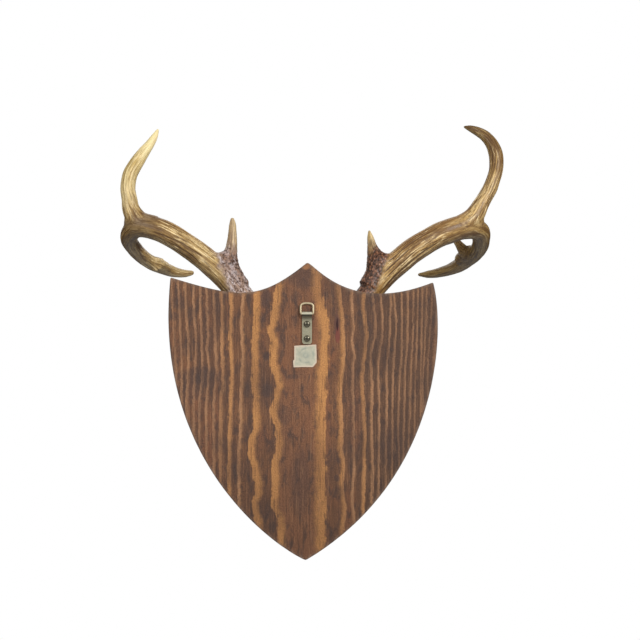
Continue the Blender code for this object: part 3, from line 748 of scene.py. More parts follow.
def board_piece(material):
    """The shield, with its growth bands standing proud of both faces and its edges unevenly eased."""
    outline = rounded_loop(even_points(board_loop(160), BOARD_STEP, closed=True), 3)
    inwards = loop_inwards(outline)
    count = len(outline)
    along = np.arange(count)[:, None] * BOARD_STEP
    wander = noise(np.hstack([along / (9 * MM), 0 * along, 0 * along]), 3)
    radius = np.minimum(BOARD_EDGE_RADIUS * (1.0 + 0.25 * wander), 0.6 * bend_radius(outline))
    eased = [(radius * (1 - math.cos(turn)), radius * (1 - math.sin(turn)))
             for turn in np.linspace(0.0, math.pi / 2, 6)]
    rows = [(inset, -depth) for inset, depth in eased[::-1]]
    rows += [(0 * radius, -BOARD_THICKNESS * share) for share in (0.25, 0.5, 0.75)]
    rows += [(inset, depth - BOARD_THICKNESS) for inset, depth in eased]
    parts = [upright(outline + inwards * inset[:, None], depth) for inset, depth in rows]
    faces = ring_faces(len(rows), count)
    back, front = 0, len(rows) - 1
    fills = ((back, 0.0, 1.3 * MM, 2.6 * MM), (front, -BOARD_THICKNESS, 2.2 * MM, 4.0 * MM))
    for row, depth, across, down in fills:
        points, triangles = filled(parts[row][:, [0, 2]], across, down)
        start = sum(len(part) for part in parts) - count
        parts.append(upright(points[count:], depth))
        number = [row * count + i if i < count else start + i for i in range(len(points))]
        faces += [tuple(number[i] for i in triangle) for triangle in triangles]
    verts = np.vstack(parts)
    depth = verts[:, 1]
    hollows = noise(verts * np.array([60.0, 60.0, 22.0]), 11)
    outward = np.where(depth > -BOARD_THICKNESS / 2, 1.0, -1.0)
    is_face = np.minimum(np.abs(depth), np.abs(depth + BOARD_THICKNESS)) < 1e-6
    verts[:, 1] += outward * is_face * (grain_relief(verts) + hollows - 1.0) * GRAIN_RELIEF
    labels = ("band_count", "band_space", "band_width", "band_strength")
    rim = 1 - ramp(least_distance(verts[:, [0, 2]], outline), 0.2 * MM, 3.2 * MM)
    return turn_faces_out(make_piece("board_wood", verts, faces, material, rim=rim,
                                     **dict(zip(labels, grain_numbers(verts)))))


# Stains on the back: a place, half a width and half a height in millimetres, and a strength
STAINS = [
    (2, 32, 10, 12, 0.55), (43.5, -55, 4, 5.5, 0.85), (59, -54, 3, 5, 0.6), (86, -53, 3, 5, 0.5),
    (114, -78, 26, 12, 0.65), (143, -13, 8, 5, 0.55), (124, -93, 15, 11, 0.55), (44, 6, 6, 12, 0.75),
    (48, -16, 6, 5, 0.6), (43, -91, 7, 9, 0.65), (33, -27, 7, 3.5, 0.5), (15, -77, 9, 3, 0.5),
    (7, -192, 11, 38, 0.45), (-34, -166, 3.2, 3.8, 0.6), (-32, -185, 3, 4, 0.6), (-66, -26, 5, 9, 0.4),
    (-84, -60, 5, 12, 0.4), (-100, -20, 8, 8, 0.3), (-50, -112, 6, 14, 0.35), (60, -132, 12, 10, 0.35),
    (88, -150, 14, 9, 0.4), (24, -120, 8, 12, 0.3), (2, 29, 19, 15, 0.6), (136, 2, 10, 8, 0.5),
    (96, -4, 6, 8, 0.4), (130, -48, 10, 7, 0.35), (-90, -150, 16, 26, 0.35), (-112, 0, 14, 5, 0.3),
]

# Marks beside the hanger and at the apex, given as stains are, and their colours
MARKS = [
    (-32.4, -23, 4.2, 18, 0.55, (0.090, 0.045, 0.042)),
    (-32.6, -33, 2.6, 9, 0.60, (0.190, 0.050, 0.038)),
    (-32.2, -20, 1.3, 8, 0.90, (0.030, 0.013, 0.014)),
    (1.5, 41, 6, 5, 0.75, (0.330, 0.150, 0.065)),
]


def wood_material():
    paint = Paint("stained_pine_boards")
    x, y, z = (paint.axis(index, paint.place) for index in range(3))
    scallop = paint.noise((60.0, 60.0, 135.0), 2.0, 0.55)
    ripple = paint.noise((380.0, 200.0, 420.0), 2.0, 0.55)
    speck = paint.noise((1150.0, 700.0, 820.0), 2.0, 0.7)
    fibre = paint.noise((2000.0, 1400.0, 105.0), 3.0, 0.62)
    fibre_wide = paint.noise((760.0, 600.0, 20.0), 2.0, 0.6)
    blotch = paint.noise((135.0, 60.0, 52.0), 3.0, 0.62, distortion=0.5)
    patch = paint.noise((24.0, 20.0, 15.0), 2.0, 0.5)
    strands = paint.noise((600.0, 500.0, 30.0), 3.0, 0.62)
    ruddy = paint.noise((34.0, 24.0, 13.0), 3.0, 0.55)
    wear = paint.noise((210.0, 210.0, 36.0), 3.0, 0.6)

    width = paint.number("band_width")
    count = paint.math("FRACT", paint.number("band_count") + 0.5, 0.0)
    offset = (count - 0.5) * paint.number("band_space")
    offset += (scallop - 0.5) * (width * 0.55 + 1.3) + (ripple - 0.5) * 1.3
    offset += (fibre - 0.5) * 1.1 + (strands - 0.5) * (width * 0.95)
    rise = offset.spread(width * -0.85 - 0.35, width * -0.14)
    fall = offset.spread(width * 0.26, width * 0.42 + 0.45, 1.0, 0.0)
    light = rise * fall * paint.number("band_strength") * patch.spread(0.32, 0.60, 0.72, 1.08)
    light = paint.math("MINIMUM", light * blotch.spread(0.56, 0.72, 1.0, 0.50), 1.0)

    def spot(px, pz, wide, tall):
        """1 on a rough oval, given in millimetres, and 0 away from it."""
        dx, dz = (x - px * MM) * (1 / (wide * MM)), (z - pz * MM) * (1 / (tall * MM))
        return (dx * dx + dz * dz + (blotch - 0.5) * 3.0).spread(0.25, 1.15, 1.0, 0.0)

    on_back = paint.math("GREATER_THAN", y, -BOARD_THICKNESS / 2)
    stain = spot(*STAINS[0][:4]) * STAINS[0][4]
    for *oval, share in STAINS[1:]:
        stain = stain.most(spot(*oval) * share)
    stain *= on_back
    light *= stain * -0.55 + 1.0

    dark = paint.mix(patch.spread(0.34, 0.66), (0.108, 0.059, 0.041), (0.176, 0.083, 0.044)).under(
        (ruddy.spread(0.50, 0.64, 0.0, 0.60), (0.235, 0.098, 0.050)),
        (abs(x - 0.004).spread(0.018, 0.032, 0.75, 0.0), (0.222, 0.100, 0.053)),
        (fibre_wide.spread(0.52, 0.68, 0.0, 0.55), (0.250, 0.118, 0.060)),
        (x.spread(-0.066, -0.044, 0.60, 0.0), (0.104, 0.063, 0.044)),
        (blotch.spread(0.45, 0.68, 0.0, 0.85), (0.074, 0.048, 0.040)),
        (stain, (0.068, 0.047, 0.043))).shaded((0.90, 0.90, 0.90))
    warm = paint.mix(patch.spread(0.35, 0.65), (0.355, 0.172, 0.066), (0.490, 0.235, 0.082))
    dull = paint.mix(patch.spread(0.35, 0.65), (0.285, 0.158, 0.090), (0.390, 0.215, 0.115))
    warm = dull.under((width.spread(2.2, 5.5), warm),
                      (fibre.spread(0.38, 0.62, 0.55, 0.0), (0.270, 0.120, 0.052)))
    colour = dark.under((light * 1.12, warm)).shaded(speck.spread(0.28, 0.72, 0.60, 1.40)).under(
        (fibre.spread(0.50, 0.68, 0.0, 0.42), (0.078, 0.042, 0.028)),
        (strands.spread(0.53, 0.66, 0.0, 0.55), (0.080, 0.043, 0.029)),
        (strands.spread(0.44, 0.32, 0.0, 0.22), (0.420, 0.220, 0.110)))
    colour = colour.shaded(z.spread(-0.26, -0.09, 0.70, 1.0), x.spread(-0.10, -0.03, 0.88, 1.0))
    for *oval, share, tone in MARKS:
        colour = colour.under((spot(*oval) * on_back * share, tone))
    rim = paint.number("rim")
    colour = colour.under((rim * 0.45, (0.090, 0.062, 0.048)),
                          (rim * wear.spread(0.42, 0.66) * 0.45, (0.30, 0.20, 0.14)))
    height = fibre * 0.55 + light * 0.30 + speck * 0.22
    return paint.finished((height, 0.00030, 0.55), Base_Color=colour, Specular_IOR_Level=0.14,
                          Roughness=fibre.spread(0.3, 0.7, 0.50, 0.68))


# Antlers

def antler_seat(side):
    return np.array([side * SEAT_OUT, -SEAT_FORWARD, -SEAT_BELOW_ORIGIN])


def seat_axis(side, beam):
    """The direction in which an antler leaves its seat."""
    return unit(np.array([side * beam[0][0], -beam[0][1], beam[0][2]]))


def placed(side, places):
    """World places of points given as antler rows give them."""
    return np.array(places, float) * np.array([side, -1.0, 1.0]) * ANTLER_HEIGHT / 100 + antler_seat(side)


def branch_line(side, rows, foot=()):
    """A branch's centre line and radii, finely drawn in world space, after the rows of its foot."""
    rows = np.array(rows, float)
    table = np.hstack([placed(side, rows[:, :3]), rows[:, 3:] * BEAM_RADIUS / 100])
    drawn = smooth_line([*foot, *table], 8)
    return drawn[:, :3], drawn[:, 3]


def branch_shape(line, radii):
    """A closed tube with a rounded end."""
    end = line[-1] + unit(line[-1] - line[-2]) * radii[-1] * np.array([[0.5], [0.85], [1.0]])
    caps = radii[-1] * np.array([0.86, 0.5, 0.08])
    return sweep(np.vstack([line, end]), np.concatenate([radii, caps]), 40)


def branch_coordinates(points, line, radii):
    """For each point: length along the branch, angle round it, distance out of its skin, and radius there."""
    along, across, beside = line_frames(line)
    nearest = np.zeros(len(points), np.int64)
    for start in range(0, len(points), 4096):
        part = points[start:start + 4096]
        gap = np.linalg.norm(part[:, None] - line[None], axis=2) - 0.6 * radii[None]
        nearest[start:start + 4096] = gap.argmin(axis=1)
    away = points - line[nearest]
    slide = (away * along[nearest]).sum(axis=1)
    flat = away - along[nearest] * slide[:, None]
    angle = np.arctan2((flat * beside[nearest]).sum(axis=1), (flat * across[nearest]).sum(axis=1))
    out = np.linalg.norm(away, axis=1) - radii[nearest]
    return lengths_along(line)[nearest] + slide, angle, out, radii[nearest]


def graft(line, trunk):
    """How far along the trunk a branch starts, and how its angles turn against the trunk's there."""
    nearest = np.linalg.norm(trunk - line[0], axis=1).argmin()
    zero = line_frames(trunk)[1][nearest]
    _, across, beside = line_frames(line)
    return lengths_along(trunk)[nearest], math.atan2(zero @ beside[0], zero @ across[0])


def valleys(flow, angle, girth, spacing, seed):
    """Grooves that run along a branch and come and go, from 0 to 1."""
    count = max(3, round(math.tau * girth / spacing))
    wander = (noise(flow / np.array([9 * MM, 9 * MM, 42 * MM]), seed) * 2.6
              + noise(flow / np.array([26 * MM, 26 * MM, 90 * MM]), seed + 1) * 4.5)
    wave = np.cos(count * angle + wander)
    show = ramp(noise(flow / np.array([1.3 * spacing, 1.3 * spacing, 30 * MM]), seed + 2), -0.38, 0.30)
    return np.clip(-wave - 0.15, 0.0, 1.0) ** 1.5 / 0.85 ** 1.5 * show


def antler_skin(side, beam, tines, webs, forks):
    """An antler's branches, and the points, quads and edges of the one skin that they grow into."""
    seat, axis = antler_seat(side), seat_axis(side, beam)
    foot = [[*(seat + axis * (TOUCH_GAP + BURR_LENGTH * share)), BURR_RADIUS * width]
            for share, width in BURR_PROFILE]
    foot.append([*(seat + axis * (TOUCH_GAP + BURR_LENGTH)), BEAM_RADIUS * 1.12])
    branches = {"beam": branch_line(side, beam, foot)}
    branches.update((label, branch_line(side, rows)) for label, rows in tines.items())
    shapes = [branch_shape(*branch) for branch in branches.values()]
    shapes += [branch_shape(*branch_line(side, rows)) for rows in webs]
    points, quads, edges = remeshed(*joined(shapes), ANTLER_VOXEL)
    points = relax(points, edges, 3)
    for place, reach, rounds in forks:
        points = fill_creases(points, quads, edges, within(points, placed(side, place), reach), rounds)
    return branches, relax(points, edges, 4), quads, edges


def antler_piece(name, material, side, beam, tines, webs, forks, tones, pearled, bleached, seed):
    """An antler grown together from its branches, with grooves, pearls, a burr and tips rubbed smooth."""
    seat = antler_seat(side)
    branches, points, quads, edges = antler_skin(side, beam, tines, webs, forks)
    reach, flows, places = [], [], {}
    for label, (line, radii) in branches.items():
        s, angle, out, radius = branch_coordinates(points, line, radii)
        reach.append(np.exp(-out / (1.6 * MM)))
        start, turn = graft(line, branches["beam"][0])
        flows.append(wrapped(angle - turn, float(np.median(radii)), s + start))
        places[label] = (s, angle, float(np.median(radius)), lengths_along(line)[-1])
    weights = np.array(reach)
    weights = relax((weights / weights.sum(axis=0)).T, edges, 110).T
    second = np.sort(weights, axis=0)[-2]
    blend = np.clip(2.8 * second, 0, 1)

    groove, fine, pale, olive = (np.zeros(len(points)) for _ in range(4))
    for index, (label, (s, angle, girth, total)) in enumerate(places.items()):
        rows = np.array(tones[label])
        own_pale, own_olive, grooved = (np.interp(np.clip(s / total, 0, 1), rows[:, 0], rows[:, column])
                                        for column in (1, 2, 3))
        pale += weights[index] * own_pale
        olive += weights[index] * own_olive
        deep = weights[index] * grooved * (1 - 0.60 * own_pale * (label != "beam")) * (1 - 0.92 * blend)
        groove += valleys(flows[index], angle, girth, GROOVE_SPACING, seed + 10 * index) * deep
        fine += valleys(flows[index], angle, girth, FINE_SPACING, seed + 10 * index + 5) * deep

    base_way = np.linalg.norm(points - seat, axis=1)
    beam_s, beam_angle = places["beam"][:2]
    patchy = noise(points / (7 * MM), seed + 60) * 7 * MM
    inwards = -(points[:, 0] - seat[0] - side * beam_s * 0.42) * side + 0.3 * patchy
    inner = ramp(inwards, (pearled - 3) * MM, (pearled + 3) * MM)
    on_brow = ramp(weights[list(places).index("brow")], 0.30, 0.80)
    pearl_zone = (1 - ramp(base_way + patchy, 0.084, 0.104)) * inner * (1 - on_brow)
    pearl_zone += on_brow * (1 - ramp(places["brow"][0] + patchy, 0.040, 0.058))
    pearl_zone = np.maximum(pearl_zone, (1 - ramp(beam_s, 0.012, 0.030)) * 0.9)
    warp = np.stack([noise(points / (5 * MM), seed + 42 + axis) for axis in range(3)], axis=1) * 0.8 * MM
    tall = np.array([1.0, 1.0, 0.66])
    pearls = np.maximum(pebbles((points + warp) * tall / (2.7 * MM), seed + 40),
                        0.7 * pebbles((points - warp) * tall / (1.7 * MM), seed + 45))
    # Where the base and brow get a paler grey tone and painted lilac highlights, which are glints drawn as
    # colour
    bleach = bleached * np.maximum((1 - ramp(base_way + patchy, 0.085, 0.125)) * inner, on_brow)
    bleach *= 1 - 0.50 * on_brow
    burr_zone = 1 - ramp(beam_s, 0.0075, 0.0115)
    knobs = ramp(noise(wrapped(beam_angle, 5, beam_s / (9 * MM)), seed + 41), -0.5, 0.6)

    normals = normals_of(points, quads)
    lumps = noise(points / (21 * MM), seed + 50) * 0.40 * MM + noise(points / (8 * MM), seed + 51) * 0.15 * MM
    move = lumps * (1 - np.clip(pale * 0.6, 0, 1)) + 0.02 * MM
    move -= (groove * GROOVE_DEPTH + fine * FINE_DEPTH) * (1 - 0.6 * pearl_zone)
    move += pearl_zone * (pearls - 0.45) * PEARL_HEIGHT + burr_zone * (knobs - 0.45) * KNOB_HEIGHT
    # Painted shade in the crotches, where two branches meet
    fork = (0.35 + 0.65 * bleached) * np.clip(2.2 * second, 0, 1) * ramp(base_way, 0.10, 0.14)
    points = points + normals * move[:, None]
    piece = make_piece(name, points, quads.tolist(), material, groove=groove, fine=fine, pale=pale,
                       olive=olive, fork=fork, blend=blend, pearl_zone=pearl_zone, pearls=pearls,
                       up=normals[:, 2], bleach=bleach)
    flow = np.einsum("bn,bni->ni", weights, np.array(flows)).astype(np.float32)
    piece.data.attributes.new("flow", "FLOAT_VECTOR", "POINT").data.foreach_set("vector", flow.ravel())
    return piece


def antler_material():
    paint = Paint("antler_horn")
    groove, fine, pale, olive, fork, blend, up, zone, pearls, bleach = (paint.number(name) for name in (
        "groove", "fine", "pale", "olive", "fork", "blend", "up", "pearl_zone", "pearls", "bleach"))
    flow = paint.number("flow", "Vector")
    broad = paint.noise((190.0, 190.0, 20.0), 3.0, 0.6, flow, 0.35, 7.7)
    streak = paint.noise((600.0, 600.0, 52.0), 4.0, 0.65, flow, 0.45)
    shine = paint.noise((450.0, 450.0, 36.0), 4.0, 0.62, flow, 0.45, 3.1)
    thin = paint.noise((1300.0, 1300.0, 150.0), 3.0, 0.6, flow)
    pits = paint.noise((520.0, 520.0, 260.0), 2.0, 0.6, flow, 0.0, 1.7)
    glint = paint.noise((260.0, 260.0, 70.0), 3.0, 0.65, flow, 0.5, 5.5)
    cloud = paint.noise(48.0, 3.0, 0.6)
    grain = paint.noise(900.0, 3.0, 0.65)
    less_pale = pale * -0.78 + 1.0
    alone = blend * -0.80 + 1.0

    tan = paint.mix(cloud.spread(0.36, 0.64), (0.380, 0.198, 0.050), (0.510, 0.305, 0.094)).under(
        (broad.spread(0.54, 0.42, 0.0, 0.92), (0.185, 0.082, 0.024)),
        (broad.spread(0.54, 0.66, 0.0, 0.70), (0.690, 0.500, 0.260)),
        (up.spread(0.45, 0.90) * less_pale * 0.55, (0.330, 0.145, 0.045)))
    ivory = paint.mix(broad.spread(0.38, 0.58), (0.560, 0.400, 0.135), (0.820, 0.680, 0.355)).under(
        (pale.spread(0.82, 0.97), (0.860, 0.720, 0.370)))
    moss = paint.mix(broad.spread(0.38, 0.64), (0.108, 0.061, 0.018), (0.285, 0.182, 0.058))
    # Darker grey-brown for the crotches: painted shade
    shade = paint.mix(streak.spread(0.38, 0.62), (0.225, 0.155, 0.098), (0.085, 0.052, 0.032))
    lines = groove.spread(0.08, 0.55).most(fine.spread(0.20, 0.80, 0.0, 0.85))
    lines = lines.most(streak.spread(0.51, 0.61, 0.0, 0.95) * alone)
    spots = pits.spread(0.57, 0.66, 0.0, 0.60) * cloud.spread(0.42, 0.58)
    horn = tan.under(
        (pale, ivory),
        (olive, moss),
        (fork * (olive * 0.70 + 0.05), shade),
        # Pale cream streaks along the grain: partly the horn's rubbed colour, partly painted highlight
        (shine.spread(0.53, 0.62) * (olive * -0.75 + 0.90) * alone, (0.880, 0.680, 0.370)),
        (lines * less_pale, (0.085, 0.036, 0.010)),
        (thin.spread(0.50, 0.66, 0.0, 0.70) * less_pale, (0.095, 0.045, 0.014)),
        (spots * less_pale, (0.090, 0.045, 0.018)),
        (bleach * 0.60, (0.400, 0.300, 0.245)))

    # The light specks on the pearls' tops are painted highlight
    red = paint.mix(pearls.spread(0.25, 0.85), (0.024, 0.008, 0.005), (0.175, 0.060, 0.024)).under(
        (pearls.spread(0.76, 0.96, 0.0, 0.60), (0.440, 0.270, 0.175)))
    # Pale lilac patches on the base are painted highlight: specular glints drawn into the colour
    pink = paint.mix(glint.spread(0.40, 0.62), (0.330, 0.215, 0.155), (0.640, 0.550, 0.540)).under(
        (pearls.spread(0.50, 0.12), (0.090, 0.045, 0.030)),
        (streak.spread(0.54, 0.62, 0.0, 0.70), (0.070, 0.033, 0.022)))
    crust = red.under((bleach, pink), (grain.spread(0.56, 0.72, 0.0, 0.30), (0.330, 0.190, 0.130)))
    # Darker on faces that turn downwards: painted shade on the undersides
    colour = horn.under((zone * 0.95, crust)).shaded(up.spread(-0.95, -0.05, 0.45, 1.0))
    height = thin * 0.45 + grain * 0.30 + streak * -0.9
    return paint.finished((height, 0.00035, 0.6), Base_Color=colour, Specular_IOR_Level=0.30,
                          Roughness=grain.spread(0.3, 0.7, 0.34, 0.50))


# Cap

def cap_piece(material):
    """Leather drawn over a domed form, with a stump under each antler and a turned-in edge on the board."""
    middle = np.array([0.0, -BOARD_THICKNESS, -CAP_BELOW_ORIGIN])
    sides, rings = 72, 37
    up = np.linspace(0.0, math.pi, rings)[:, None]
    turn = (np.arange(sides) * math.tau / sides)[None]
    ball = np.stack([np.sin(up) * np.cos(turn), np.cos(up) + 0 * turn, np.sin(up) * np.sin(turn)], axis=-1)
    dome = ball.reshape(-1, 3) * np.array([CAP_HALF_WIDTH, CAP_DEPTH, CAP_HALF_HEIGHT]) * 0.985 + middle
    parts = [(dome, ring_faces(rings, sides))]
    seats = [(antler_seat(side), seat_axis(side, beam)) for side, beam in ((1, LEFT_BEAM), (-1, RIGHT_BEAM))]
    share = np.linspace(0.0, 1.0, 12)
    radii = PEDICLE_RADIUS + (PEDICLE_FLARE - PEDICLE_RADIUS) * (1 - share) ** 1.6
    radii *= 1 - 0.60 * (1 - ramp(share, 0.0, 0.50))
    for seat, axis in seats:
        parts.append(sweep(seat + (share - 1.0)[:, None] * axis * PEDICLE_LENGTH, radii, 48))
    points, quads, edges = remeshed(*joined(parts), CAP_VOXEL)
    points = relax(points, edges, 2)
    joins = within(points, seats[0][0], CAP_JOIN_REACH) | within(points, seats[1][0], CAP_JOIN_REACH)
    points = relax(fill_creases(points, quads, edges, joins, 420), edges, 14)

    front = -(points[:, 1] + BOARD_THICKNESS)
    move = noise(points / (26 * MM), 70) * 0.5 * MM
    for number, (seat, axis) in enumerate(seats):
        away = points - seat
        slide = away @ axis
        flat = away - slide[:, None] * axis
        folds = noise(wrapped(np.arctan2(flat[:, 1], flat[:, 0]), 3.4, slide / (30 * MM)), 80 + number)
        near = bell(np.linalg.norm(flat, axis=1), 0.020, 0.010) * ramp(-slide, -2 * MM, 12 * MM)
        move -= near * folds ** 2 * 1.8 * MM
    # Within a few millimetres of the board, where the leather gathers and where painted shade darkens it
    foot = 1 - ramp(front, 1.0 * MM, 6.0 * MM)
    around = np.arctan2(points[:, 2] - middle[2], points[:, 0])
    gathers = noise(wrapped(around, 9, front / (14 * MM)), 90)
    move += foot * gathers * 0.5 * MM + 0.7 * MM * bell(front, 2.2 * MM, 1.6 * MM)
    points = points + normals_of(points, quads) * move[:, None]
    points[:, 1] = np.minimum(points[:, 1], -BOARD_THICKNESS - 0.05 * MM)
    return make_piece("skull_cap_leather", points, quads.tolist(), material, foot=foot)


def leather_material():
    paint = Paint("brown_leather_skin")
    cells = paint.cells(900.0, "DISTANCE_TO_EDGE")
    small = paint.cells(2100.0)
    cloud = paint.noise(38.0, 3.0, 0.6)
    crease = paint.noise(260.0, 4.0, 0.7, distortion=0.6)
    colour = paint.mix(cloud.spread(0.3, 0.7), (0.060, 0.027, 0.015), (0.125, 0.058, 0.030)).under(
        (cells.spread(0.0, 0.14, 1.0, 0.0) * 0.6, (0.026, 0.012, 0.008)),
        (crease.spread(0.58, 0.75, 0.0, 0.35), (0.185, 0.095, 0.052)),
        # Darker where the cap meets the board: painted shade
        (paint.number("foot") * 0.5, (0.035, 0.016, 0.010)))
    height = cells.spread(0.0, 0.22) * 0.8 + small * 0.25 + crease * -0.5
    return paint.finished((height, 0.00035, 0.7), Base_Color=colour, Specular_IOR_Level=0.45,
                          Roughness=cloud.spread(0.3, 0.7, 0.42, 0.58))


# Hanger

def ring_piece(material):
    """A D of wire: two eased corners at its bar and an arched bow above them."""
    half = RING_WIDTH / 2 - WIRE_RADIUS
    shoulder = RING_REACH * 0.64
    right = [(half - RING_CORNER_RADIUS * (1 - math.sin(turn)), RING_CORNER_RADIUS * (1 - math.cos(turn)))
             for turn in np.linspace(0.0, math.pi / 2, 12)]
    right += [(half * math.cos(turn) ** 0.74, shoulder + (RING_REACH - shoulder) * math.sin(turn) ** 0.82)
              for turn in np.linspace(0.0, math.pi / 2, 36)]
    right = np.array(right)
    loop = np.vstack([right, right[-2::-1] * np.array([-1.0, 1.0])])
    loop = rounded_loop(even_points(loop, 0.22 * MM, closed=True), 6)
    line = upright(loop * np.array([1.0, math.cos(RING_LEAN)]), -loop[:, 1] * math.sin(RING_LEAN)) + BAR
    wear = noise(line / (2.5 * MM), 5) * 0.03 * MM
    verts, faces = sweep(line, WIRE_RADIUS + wear, 28, closed=True)
    return turn_faces_out(make_piece("ring_wire", verts, faces, material))


def strap_piece(material):
    """One strip of sheet: up the board, over the ring's bar and down again, with rounded ends and edges."""
    half_sheet = SHEET_THICKNESS / 2
    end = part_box("hanger_strap")[0].z
    inner_y = TOUCH_GAP + half_sheet
    outer_y = TOUCH_GAP + 1.5 * SHEET_THICKNESS
    fold = FOLD_RADIUS - half_sheet
    path = [(inner_y, z) for z in np.arange(end, BAR[2], 0.25 * MM)]
    path += [(BAR[1] + fold * math.cos(turn), BAR[2] + fold * math.sin(turn))
             for turn in np.linspace(math.pi, math.pi - math.radians(205), 36)]
    path.append((outer_y + 0.7 * MM, BAR[2] - 1.6 * FOLD_RADIUS))
    path.append((outer_y + 0.1 * MM, BAR[2] - 2.2 * FOLD_RADIUS))
    path += [(outer_y, z) for z in np.arange(BAR[2] - 2.6 * FOLD_RADIUS, end, -0.25 * MM)] + [(outer_y, end)]
    path = even_points(np.array(path), 0.22 * MM)
    for _ in range(10):
        path[1:-1] += (0.5 * (path[:-2] + path[2:]) - path[1:-1]) * 0.5
    along = unit(np.gradient(path, axis=0))
    length = lengths_along(path)
    turn = np.linspace(0, math.tau, 32, endpoint=False)
    cos, sin = np.cos(turn), np.sin(turn)
    on_flat = np.abs(sin) > 0.5
    soft = 0.22 * MM
    rings = []
    for (y, z), (along_y, along_z), left in zip(path, along, np.minimum(length, length[-1] - length)):
        short = max(0.0, 1 - left / STRAP_END_RADIUS)
        inset = STRAP_END_RADIUS * (1 - math.sqrt(max(0.0, 1 - short ** 2)))
        wide = STRAP_WIDTH / 2 - inset * 0.98 - soft
        thick = half_sheet * (0.55 + 0.45 * min(1.0, left / (0.3 * MM)))
        u = np.where(on_flat, wide * cos / math.cos(math.pi / 6), np.copysign(wide, cos) + soft * cos)
        v = np.copysign(max(thick - soft, 0.0), sin) + soft * sin
        rings.append(np.stack([u, y - along_z * v, z + along_y * v], axis=1))
    verts = np.vstack(rings)
    heights = verts[:, 2] - BAR[2]
    return turn_faces_out(make_piece(
        "strap_sheet", verts, ring_faces(len(path), 32) + end_faces(len(path), 32), material, 50,
        # Lighter on the fold's crown: painted highlight
        # The dark line just under the fold is a painted shadow
        worn=bell(heights, 0.6 * MM, 1.1 * MM), seam=bell(heights, -1.7 * MM, 0.80 * MM),
        # Darker down the sheet below the fold: painted shade
        grimy=ramp(heights, -9.0 * MM, -3.0 * MM) * (1 - ramp(heights, -2.2 * MM, -0.6 * MM))))


def screw_piece(name, node, material):
    """A domed screw with a rounded rim and a tapered cross recess."""
    low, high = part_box(node)
    height = (low.z + high.z) / 2
    seat = high.y - SCREW_HEAD_HEIGHT
    profile = [(0.0, low.y), (0.0015, low.y + 0.0026), (0.0015, seat), (SCREW_HEAD_RADIUS * 0.95, seat)]
    for turn in np.linspace(-0.6, math.pi / 2, 22):
        out = SCREW_HEAD_RADIUS * (math.cos(turn) if turn > 0 else 0.97 + 0.03 * math.cos(turn * 2.6))
        up = 0.16 * SCREW_HEAD_HEIGHT + 0.84 * SCREW_HEAD_HEIGHT * max(math.sin(turn), turn * 0.25)
        profile.append((out, seat + max(up, 0.02 * MM)))
    sides = 64
    turns = np.arange(sides) * math.tau / sides
    rings = [np.stack([out * np.cos(turns), y + 0 * turns, height + out * np.sin(turns)], axis=1)
             for out, y in profile[1:-1]]
    verts = np.vstack([(0.0, profile[0][1], height), *rings, (0.0, profile[-1][1], height)])
    faces = []
    for j in range(sides):
        k = (j + 1) % sides
        faces.append((0, 1 + j, 1 + k))
        for i in range(len(rings) - 1):
            a, b = 1 + i * sides, 1 + (i + 1) * sides
            faces.append((a + j, b + j, b + k, a + k))
        last = 1 + (len(rings) - 1) * sides
        faces.append((last + j, len(verts) - 1, last + k))
    piece = turn_faces_out(make_piece(name, verts, faces, material))
    for wide, tall in ((1.5 * MM, 0.34 * MM), (0.34 * MM, 1.5 * MM)):
        work = bmesh.new()
        corner = math.sqrt(2)
        bmesh.ops.create_cone(work, cap_ends=True, segments=4, radius1=corner, radius2=corner * 0.6,
                              depth=2.0, matrix=Matrix.Rotation(math.radians(45), 4, "Z"))
        shape = (Matrix.Translation((0.0, seat + SCREW_HEAD_HEIGHT, height))
                 @ Matrix.Rotation(math.radians(90), 4, "X") @ Matrix.Diagonal((wide, tall, 1.15 * MM, 1.0)))
        bmesh.ops.transform(work, matrix=shape, verts=work.verts)
        bmesh.ops.recalc_face_normals(work, faces=work.faces)
        mesh = bpy.data.meshes.new("slot")
        work.to_mesh(mesh)
        work.free()
        cutter = bpy.data.objects.new("slot", mesh)
        bpy.context.scene.collection.objects.link(cutter)
        cut = piece.modifiers.new("slot", "BOOLEAN")
        cut.operation = "DIFFERENCE"
        cut.solver = "EXACT"
        cut.object = cutter
        done = evaluated_mesh(piece)
        piece.modifiers.clear()
        piece.data = done
        bpy.data.objects.remove(cutter, do_unlink=True)
    piece.data.shade_smooth()
    piece.data.set_sharp_from_angle(angle=math.radians(38))
    return piece


def metal_material(name, light, dark, rough, patina, grime, metal):
    """Aged metal in two tones with a less metallic patina, dirt in its scratches, and painted shade, a
    painted highlight and a painted shadow line where the piece says so.
    """
    paint = Paint(name)
    cloud = paint.noise(700.0, 4.0, 0.65)
    wide = paint.noise(190.0, 3.0, 0.6)
    scratch = paint.noise((5200.0, 900.0, 900.0), 2.0, 0.5)
    colour = paint.mix(cloud.spread(0.35, 0.70), light, dark).under(
        (wide.spread(0.48, 0.70, 0.0, 0.65), patina),
        (scratch.spread(0.60, 0.72, 0.0, 0.35), grime),
        # Painted shade below the strap's fold, in the same dark colour as the dirt in the scratches
        (paint.number("grimy") * 0.90, grime),
        # Painted highlight on the strap fold's crown
        (paint.number("worn") * 0.85, (0.62, 0.58, 0.45)),
        # Painted shadow line under the strap's fold
        (paint.number("seam") * 0.92, (0.020, 0.015, 0.010)))
    return paint.finished((scratch * 0.4 + cloud, 0.00008, 0.5), Base_Color=colour,
                          Metallic=wide.spread(0.50, 0.74, *metal),
                          Roughness=cloud.spread(0.30, 0.70, rough - 0.08, rough + 0.14))


# Tape

